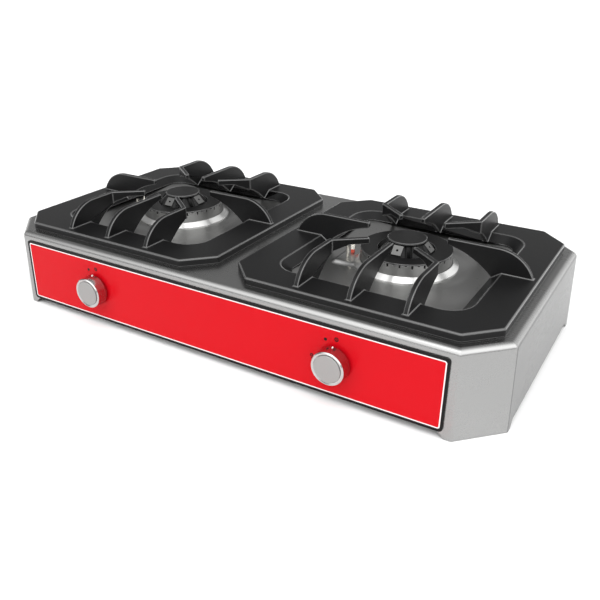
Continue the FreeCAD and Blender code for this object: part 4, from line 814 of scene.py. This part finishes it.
@dataclass
class Burner(Assembly):
    """Well, collar, flame ring, cap, inner burner, crown and ignition of one side."""

    side: str
    x: float
    ring_radius: float = 57.0 * MM
    ring_wall: float = 3.8 * MM
    ring_low: float = 102.0 * MM
    ring_top: float = 121.2 * MM
    slots: int = 24
    slot_width: float = 2.0 * MM
    slot_depth: float = 4.2 * MM
    small_width: float = 2.6 * MM
    small_depth: float = 1.3 * MM
    neck: float = 22.5 * MM
    neck_z: float = 133.0 * MM
    base: float = 34.3 * MM
    base_z: float = 121.2 * MM

    def build(self) -> None:
        """Build every piece of the burner."""
        self.dress(Look.CAST, "burner_body_" + self.side)
        self.dress(Look.PROBE, "flame_probe_" + self.side)
        self.dress(Look.CERAMIC, "spark_electrode_" + self.side)
        self.well()
        self.collar()
        self.flame_ring()
        self.cap()
        self.inner_burner()
        self.crown()

    def collar(self) -> None:
        """Polished ring with a bevel round the flame ring."""
        made = lathe("collar_ring_" + self.side + "_polished", [
            (57.5 * MM, 101.0 * MM), (65.2 * MM, 101.0 * MM, 0.3 * MM), (65.2 * MM, 102.4 * MM, 0.5 * MM),
            (58.5 * MM, 107.6 * MM, 0.5 * MM), (57.5 * MM, 107.6 * MM, 0.3 * MM)], upright(self.x), 192)
        self.finish_piece(made, Look.POLISHED, "root", "polished_ring", "collar_ring_" + self.side)

    def flame_ring(self) -> None:
        """Upright ring with a large and a small flame slot in turn under its top edge."""
        sizes = {"Outer radius": self.ring_radius, "Wall": self.ring_wall, "Low": self.ring_low,
                 "Top": self.ring_top, "Slots": self.slots, "Slot width": self.slot_width,
                 "Slot depth": self.slot_depth, "Small width": self.small_width,
                 "Small depth": self.small_depth, "Centre": self.x}
        recipe = GeometryRecipe("flame_ring_slots_" + self.side, sizes)
        maker, size = recipe.maker, recipe.size
        middle = size("Outer radius") - size("Wall") / 2
        height = size("Top") - size("Low")
        centre = maker.vector(size("Centre"), 0.0, size("Low") + height / 2)
        solid = {"Vertices": 192, "Depth": height}
        wall = maker.term("GeometryNodeMeshCylinder", {}, {**solid, "Radius": size("Outer radius")})
        inner = {"Vertices": 192, "Depth": height * 2, "Radius": size("Outer radius") - size("Wall")}
        hollow = maker.term("GeometryNodeMeshCylinder", {}, inner)
        cutters = [self.slot_boxes(recipe, middle, height, "Slot width", "Slot depth", 0.0),
                   self.slot_boxes(recipe, middle, height, "Small width", "Small depth", 0.5)]
        cut = maker.node("GeometryNodeMeshBoolean", {"operation": "DIFFERENCE", "solver": "EXACT"},
                         {"Mesh 1": wall})
        for tool in (hollow, *cutters):
            maker.tree.links.new(tool.socket, cut.inputs["Mesh 2"])
        moved = maker.term("GeometryNodeTransform", {}, {"Geometry": cut.outputs[0], "Translation": centre})
        made = recipe.make("flame_ring_%s_slotted" % self.side, moved, Look.FLAME)
        made.data.set_sharp_from_angle(angle=math.radians(40))
        soften(made, 0.22 * MM, 2, 50)
        self.finish_piece(baked(made), Look.FLAME, "burner_cap_" + self.side, "flame_metal",
                          "flame_ring_" + self.side)

    def slot_boxes(self, recipe: GeometryRecipe, middle: Term, height: Term, width: str, depth: str,
                   share: float) -> Term:
        """Boxes that cut one size of slot.

        Args:
            recipe: The tree.
            middle: Radius of the wall's middle.
            height: Height of the ring.
            width: Name of the slot's width.
            depth: Name of the slot's depth.
            share: Part of a step by which the slots are turned.

        Returns:
            One box for each slot, round the ring.
        """
        maker, size = recipe.maker, recipe.size
        box = maker.vector(size("Wall") * 3, size(width), size(depth) * 2)
        tool = maker.term("GeometryNodeMeshCube", {}, {"Size": box})
        points = maker.term("GeometryNodeMeshCircle", {}, {"Vertices": size("Slots"), "Radius": middle})
        index = maker.term("GeometryNodeInputIndex")
        step = FULL_TURN / size("Slots")
        turn = maker.vector(0.0, 0.0, index * step)
        placed = maker.term("GeometryNodeInstanceOnPoints", {},
                            {"Points": points, "Instance": tool, "Rotation": turn})
        whole = maker.term("GeometryNodeRealizeInstances", {}, {0: placed})
        lift = maker.vector(0.0, 0.0, height / 2)
        return maker.term("GeometryNodeTransform", {}, {
            "Geometry": whole, "Translation": lift, "Rotation": maker.vector(0.0, 0.0, step * share)})

    def cap(self) -> None:
        """Black cap ring with softly rounded edges and a centring skirt."""
        low, top = self.ring_top, 123.0 * MM
        skirt = self.ring_radius - self.ring_wall - 0.3 * MM
        made = lathe("burner_cap_%s_enamelled" % self.side, [
            (35.5 * MM, low - 1.0 * MM, 0.2 * MM), (skirt - 3.8 * MM, low - 1.0 * MM),
            (skirt - 3.8 * MM, low - 3.2 * MM), (skirt, low - 3.2 * MM), (skirt, low),
            (57.3 * MM, low, 0.3 * MM), (57.3 * MM, top, 0.8 * MM),
            (35.5 * MM, top - 1.0 * MM, 0.5 * MM)], upright(self.x), 192)
        mark_edges(made)
        body = "burner_cap_" + self.side
        self.finish_piece(made, Look.CAP, body, "black_enamel", body)

    def crown(self) -> None:
        """Black disc on the inner burner."""
        low, top, radius = self.neck_z, self.neck_z + 3.0 * MM, 24.3 * MM
        made = lathe("inner_cap_%s_enamelled" % self.side, [
            (0, low - 7 * MM), (8.6 * MM, low - 7 * MM), (8.6 * MM, low),
            (radius - 0.8 * MM, low, 0.4 * MM),
            (radius, low + 0.8 * MM, 0.4 * MM), (radius, top, 0.9 * MM), (0, top)], upright(self.x), 160)
        mark_edges(made)
        self.finish_piece(made, Look.CAP, "inner_burner_" + self.side, "black_enamel",
                          "inner_cap_" + self.side)

    def inner_burner(self) -> None:
        """Black cone with hollows, and four grey port pads."""
        node = "inner_burner_" + self.side
        work = node_mesh(node)
        made = from_bmesh(node + "_cone", work)
        made.data.set_sharp_from_angle(angle=math.radians(40))
        self.finish_piece(made, Look.CAP, node, "black_enamel", node)
        self.finish_piece(self.port_pads(), Look.PAD, node, "black_enamel")

    def port_pads(self) -> bpy.types.Object:
        """Machined faces of the four port pads, each with its gas port."""
        fall, run = self.neck_z - self.base_z, self.base - self.neck
        sizes = {"Pads": 4, "Width": 12.6 * MM, "Length": 12.8 * MM, "Film": 0.35 * MM,
                 "Port radius": 1.5 * MM, "Stand off": 1.55 * MM, "From neck": 8.4 * MM,
                 "Neck radius": self.neck, "Neck height": self.neck_z,
                 "Slope": math.atan2(fall, run), "Centre": self.x}
        recipe = GeometryRecipe("port_pads_" + self.side, sizes)
        maker, size = recipe.maker, recipe.size
        box = maker.vector(size("Length"), size("Width"), size("Film"))
        plate = maker.term("GeometryNodeMeshCube", {}, {"Size": box})
        hole = maker.term("GeometryNodeMeshCylinder", {},
                          {"Vertices": 20, "Radius": size("Port radius"), "Depth": size("Film") * 4})
        cut = maker.node("GeometryNodeMeshBoolean", {"operation": "DIFFERENCE", "solver": "EXACT"},
                         {"Mesh 1": plate})
        maker.tree.links.new(hole.socket, cut.inputs["Mesh 2"])
        slope = size("Slope")
        cosine, sine = maker.math("COSINE", slope), maker.math("SINE", slope)
        radius = size("Neck radius") + size("From neck") * cosine + size("Stand off") * sine
        height = size("Neck height") - size("From neck") * sine + size("Stand off") * cosine
        tilted = maker.term("GeometryNodeTransform", {}, {
            "Geometry": cut.outputs[0], "Translation": maker.vector(radius, 0.0, 0.0),
            "Rotation": maker.vector(0.0, slope, 0.0)})
        points = maker.term("GeometryNodeMeshCircle", {}, {"Vertices": size("Pads"), "Radius": 1e-6})
        turn = maker.vector(0.0, 0.0, maker.term("GeometryNodeInputIndex") * (FULL_TURN / size("Pads")))
        placed = maker.term("GeometryNodeInstanceOnPoints", {},
                            {"Points": points, "Instance": tilted, "Rotation": turn})
        moved = maker.term("GeometryNodeTransform", {}, {
            "Geometry": placed, "Translation": maker.vector(size("Centre"), 0.0, height)})
        made = recipe.make("port_pads_" + self.side, moved, Look.PAD)
        soften(made, 0.12 * MM, 2)
        return baked(made)

    def well(self) -> None:
        """Pressed well: a dish that rises smoothly to its corners, with the ignition boss."""
        sizes = {"Half side": 143.9 * MM, "Lip radius": 57.3 * MM, "Lip height": 101.0 * MM,
                 "Low radius": 84.0 * MM, "Low height": 99.5 * MM, "Rim radius": 150.0 * MM,
                 "Rim height": 104.78 * MM, "Boss height": 103.6 * MM, "Boss x": -66.0 * MM,
                 "Boss y": -15.5 * MM, "Boss half x": 12.0 * MM, "Boss half y": 23.0 * MM,
                 "Boss slope": 7.0 * MM, "Centre": self.x}
        recipe = GeometryRecipe("well_dish_" + self.side, sizes)
        maker, size = recipe.maker, recipe.size
        rings, turns = 72, 288
        grid = maker.node("GeometryNodeMeshGrid", {}, {"Size X": 1.0, "Size Y": 1.0, "Vertices X": rings,
                                                      "Vertices Y": turns + 1})
        across, around, _ = maker.split(maker.term("GeometryNodeInputPosition"))
        angle = (around + 0.5) * FULL_TURN
        cosine, sine = maker.math("COSINE", angle), maker.math("SINE", angle)
        reach = size("Half side") / abs(cosine).at_least(abs(sine))
        corner = size("Half side") * 1.26
        outer = reach.at_most(corner)
        share = across + 0.5
        radius = size("Lip radius") + (outer - size("Lip radius")) * share
        fall = maker.term("ShaderNodeMapRange", {"interpolation_type": "SMOOTHSTEP"}, {
            "Value": radius, "From Min": size("Lip radius") + 9.0 * MM, "From Max": size("Low radius"),
            "To Min": size("Lip height"), "To Max": size("Low height")})
        rise = maker.term("ShaderNodeMapRange", {"interpolation_type": "SMOOTHSTEP"}, {
            "Value": radius, "From Min": size("Low radius"), "From Max": size("Rim radius"),
            "To Min": 0.0, "To Max": size("Rim height") - size("Low height")})
        x, y = radius * cosine, radius * sine
        past_x = (abs(x - size("Boss x")) - size("Boss half x")).at_least(0.0)
        past_y = (abs(y - size("Boss y")) - size("Boss half y")).at_least(0.0)
        past = maker.math("SQRT", past_x * past_x + past_y * past_y)
        on_boss = 1 - maker.term("ShaderNodeMapRange", {"interpolation_type": "SMOOTHSTEP"}, {
            "Value": past, "From Min": 0.0, "From Max": size("Boss slope")})
        dish = fall + rise
        height = dish + (size("Boss height") - dish) * on_boss
        shaped = maker.term("GeometryNodeSetPosition", {}, {
            "Geometry": grid.outputs[0], "Position": maker.vector(x + size("Centre"), y, height)})
        joined = maker.term("GeometryNodeMergeByDistance", {}, {"Geometry": shaped, "Distance": 1e-6})
        made = recipe.make("burner_well_%s_pressed" % self.side, joined, Look.WELL)
        work = bmesh.new()
        work.from_mesh(made.data)
        if sum(face.normal.z for face in work.faces) < 0:
            bmesh.ops.reverse_faces(work, faces=work.faces)
        work.to_mesh(made.data)
        work.free()
        made.data.shade_smooth()
        sheet = made.modifiers.new("sheet", "SOLIDIFY")
        sheet.thickness, sheet.offset = 0.75 * MM, -1
        self.finish_piece(baked(made), Look.WELL, "root", "stainless", "burner_well_" + self.side)


@dataclass
class PanSupport(Assembly):
    """Cast, enamelled plate with its eight fins, edges rounded as they come from a mould."""

    side: str
    edge: float = 1.15 * MM

    def build(self) -> None:
        """Round the edges of the CAD shape and enamel it."""
        node = "pan_support_" + self.side
        made = from_bmesh(node + "_enamelled", node_mesh(node))
        soften(made, self.edge, 4, 32, False)
        mark_edges(baked(made))
        self.finish_piece(made, Look.ENAMEL, node, "black_enamel", node)


# ---------------------------------------------------------------------------
# Studio
# ---------------------------------------------------------------------------


@dataclass
class Lamp:
    """A soft rectangular light."""

    name: str
    place: tuple[float, float, float]
    aim: tuple[float, float, float]
    size: tuple[float, float]
    power: float

    def build(self) -> None:
        """Hang the light and point it."""
        light = bpy.data.lights.new(self.name, "AREA")
        light.shape = "RECTANGLE"
        light.size, light.size_y = self.size
        light.energy = self.power
        hung = bpy.data.objects.new(self.name, light)
        hung.location = self.place
        way = Vector(self.aim) - Vector(self.place)
        hung.rotation_euler = way.to_track_quat("-Z", "Y").to_euler()
        bpy.context.scene.collection.objects.link(hung)


@dataclass
class Studio:
    """Pale floor, soft light and the camera."""

    camera_place: tuple[float, float, float] = (0.4759, -0.7499, 0.4459)
    turn: float = math.radians(31.11)
    dip: float = math.radians(26.50)
    lens: float = 41.54
    floor_half: float = 60.0
    front: tuple[float, float, float] = (0.34, -0.82, 0.46)
    right: tuple[float, float, float] = (0.72, 0.55, 0.42)
    ambient: float = 0.31
    front_low: float = 0.12
    front_high: float = 2.1
    right_glow: float = 1.0
    rear_horizon: float = 0.6
    lamp_watts: float = 9.0

    def build(self) -> None:
        """Set the floor, the world, the lights and the camera."""
        scene = bpy.context.scene
        scene.view_settings.view_transform = "Standard"
        self.floor()
        self.world()
        Lamp("front_light", (0.3, -1.2, 2.2), (0.0, 0.0, 0.1), (1.6, 0.8), self.lamp_watts).build()
        self.camera()

    def floor(self) -> None:
        """Pale floor under the stove."""
        work = bmesh.new()
        bmesh.ops.create_grid(work, x_segments=1, y_segments=1, size=self.floor_half)
        made = from_bmesh("floor", work, False)
        paper = Finish("floor_paper", (0.86, 0.86, 0.86), 0.0, 0.9, specular=0.1, tint=0.01, cloud=1.0)
        made.data.materials.append(paper.material())

    def world(self) -> None:
        """Surroundings that are bright in front and above, and dimmer behind."""
        world = bpy.data.worlds.new("studio")
        world.use_nodes = True
        world.node_tree.nodes.clear()
        maker = TreeMaker(world.node_tree)
        parts = maker.split(maker.term("ShaderNodeTexCoord", output="Generated"))
        front = sum((part * share for part, share in zip(parts, self.front)), start=0.0)
        right = sum((part * share for part, share in zip(parts, self.right)), start=0.0)
        horizon = (1 - parts[2].ramp(0.02, 0.30)) * parts[1].ramp(-0.3, 0.3)
        dome = front.ramp(0.10, 0.72) * (self.front_low + parts[2].ramp(0.05, 0.42) * self.front_high)
        strength = (self.ambient + dome + right.ramp(0.55, 0.95) * self.right_glow
                    + horizon * self.rear_horizon)
        glow = maker.node("ShaderNodeBackground", {}, {"Color": (1, 1, 1, 1), "Strength": strength})
        maker.node("ShaderNodeOutputWorld", {}, {"Surface": glow.outputs[0]})
        bpy.context.scene.world = world

    def camera(self) -> None:
        """Camera above the front right corner, looking down at the stove."""
        data = bpy.data.cameras.new("camera")
        data.lens, data.sensor_width = self.lens, 36.0
        data.clip_start, data.clip_end = 0.01, 100.0
        made = bpy.data.objects.new("camera", data)
        way = Vector((-math.sin(self.turn) * math.cos(self.dip), math.cos(self.turn) * math.cos(self.dip),
                      -math.sin(self.dip)))
        made.location = self.camera_place
        made.rotation_euler = way.to_track_quat("-Z", "Y").to_euler()
        bpy.context.scene.collection.objects.link(made)
        bpy.context.scene.camera = made


def main() -> None:
    """Build the studio and the stove, piece by piece."""
    logging.basicConfig(level=logging.INFO, format="%(message)s")
    Studio().build()
    Casing().build()
    GasWorks().build()
    for side, sign in (("left", -1), ("right", 1)):
        Burner(side, sign * BURNER_X).build()
        PanSupport(side).build()
        Knob(side, sign * BURNER_X).build()


if __name__ == "__main__":
    main()
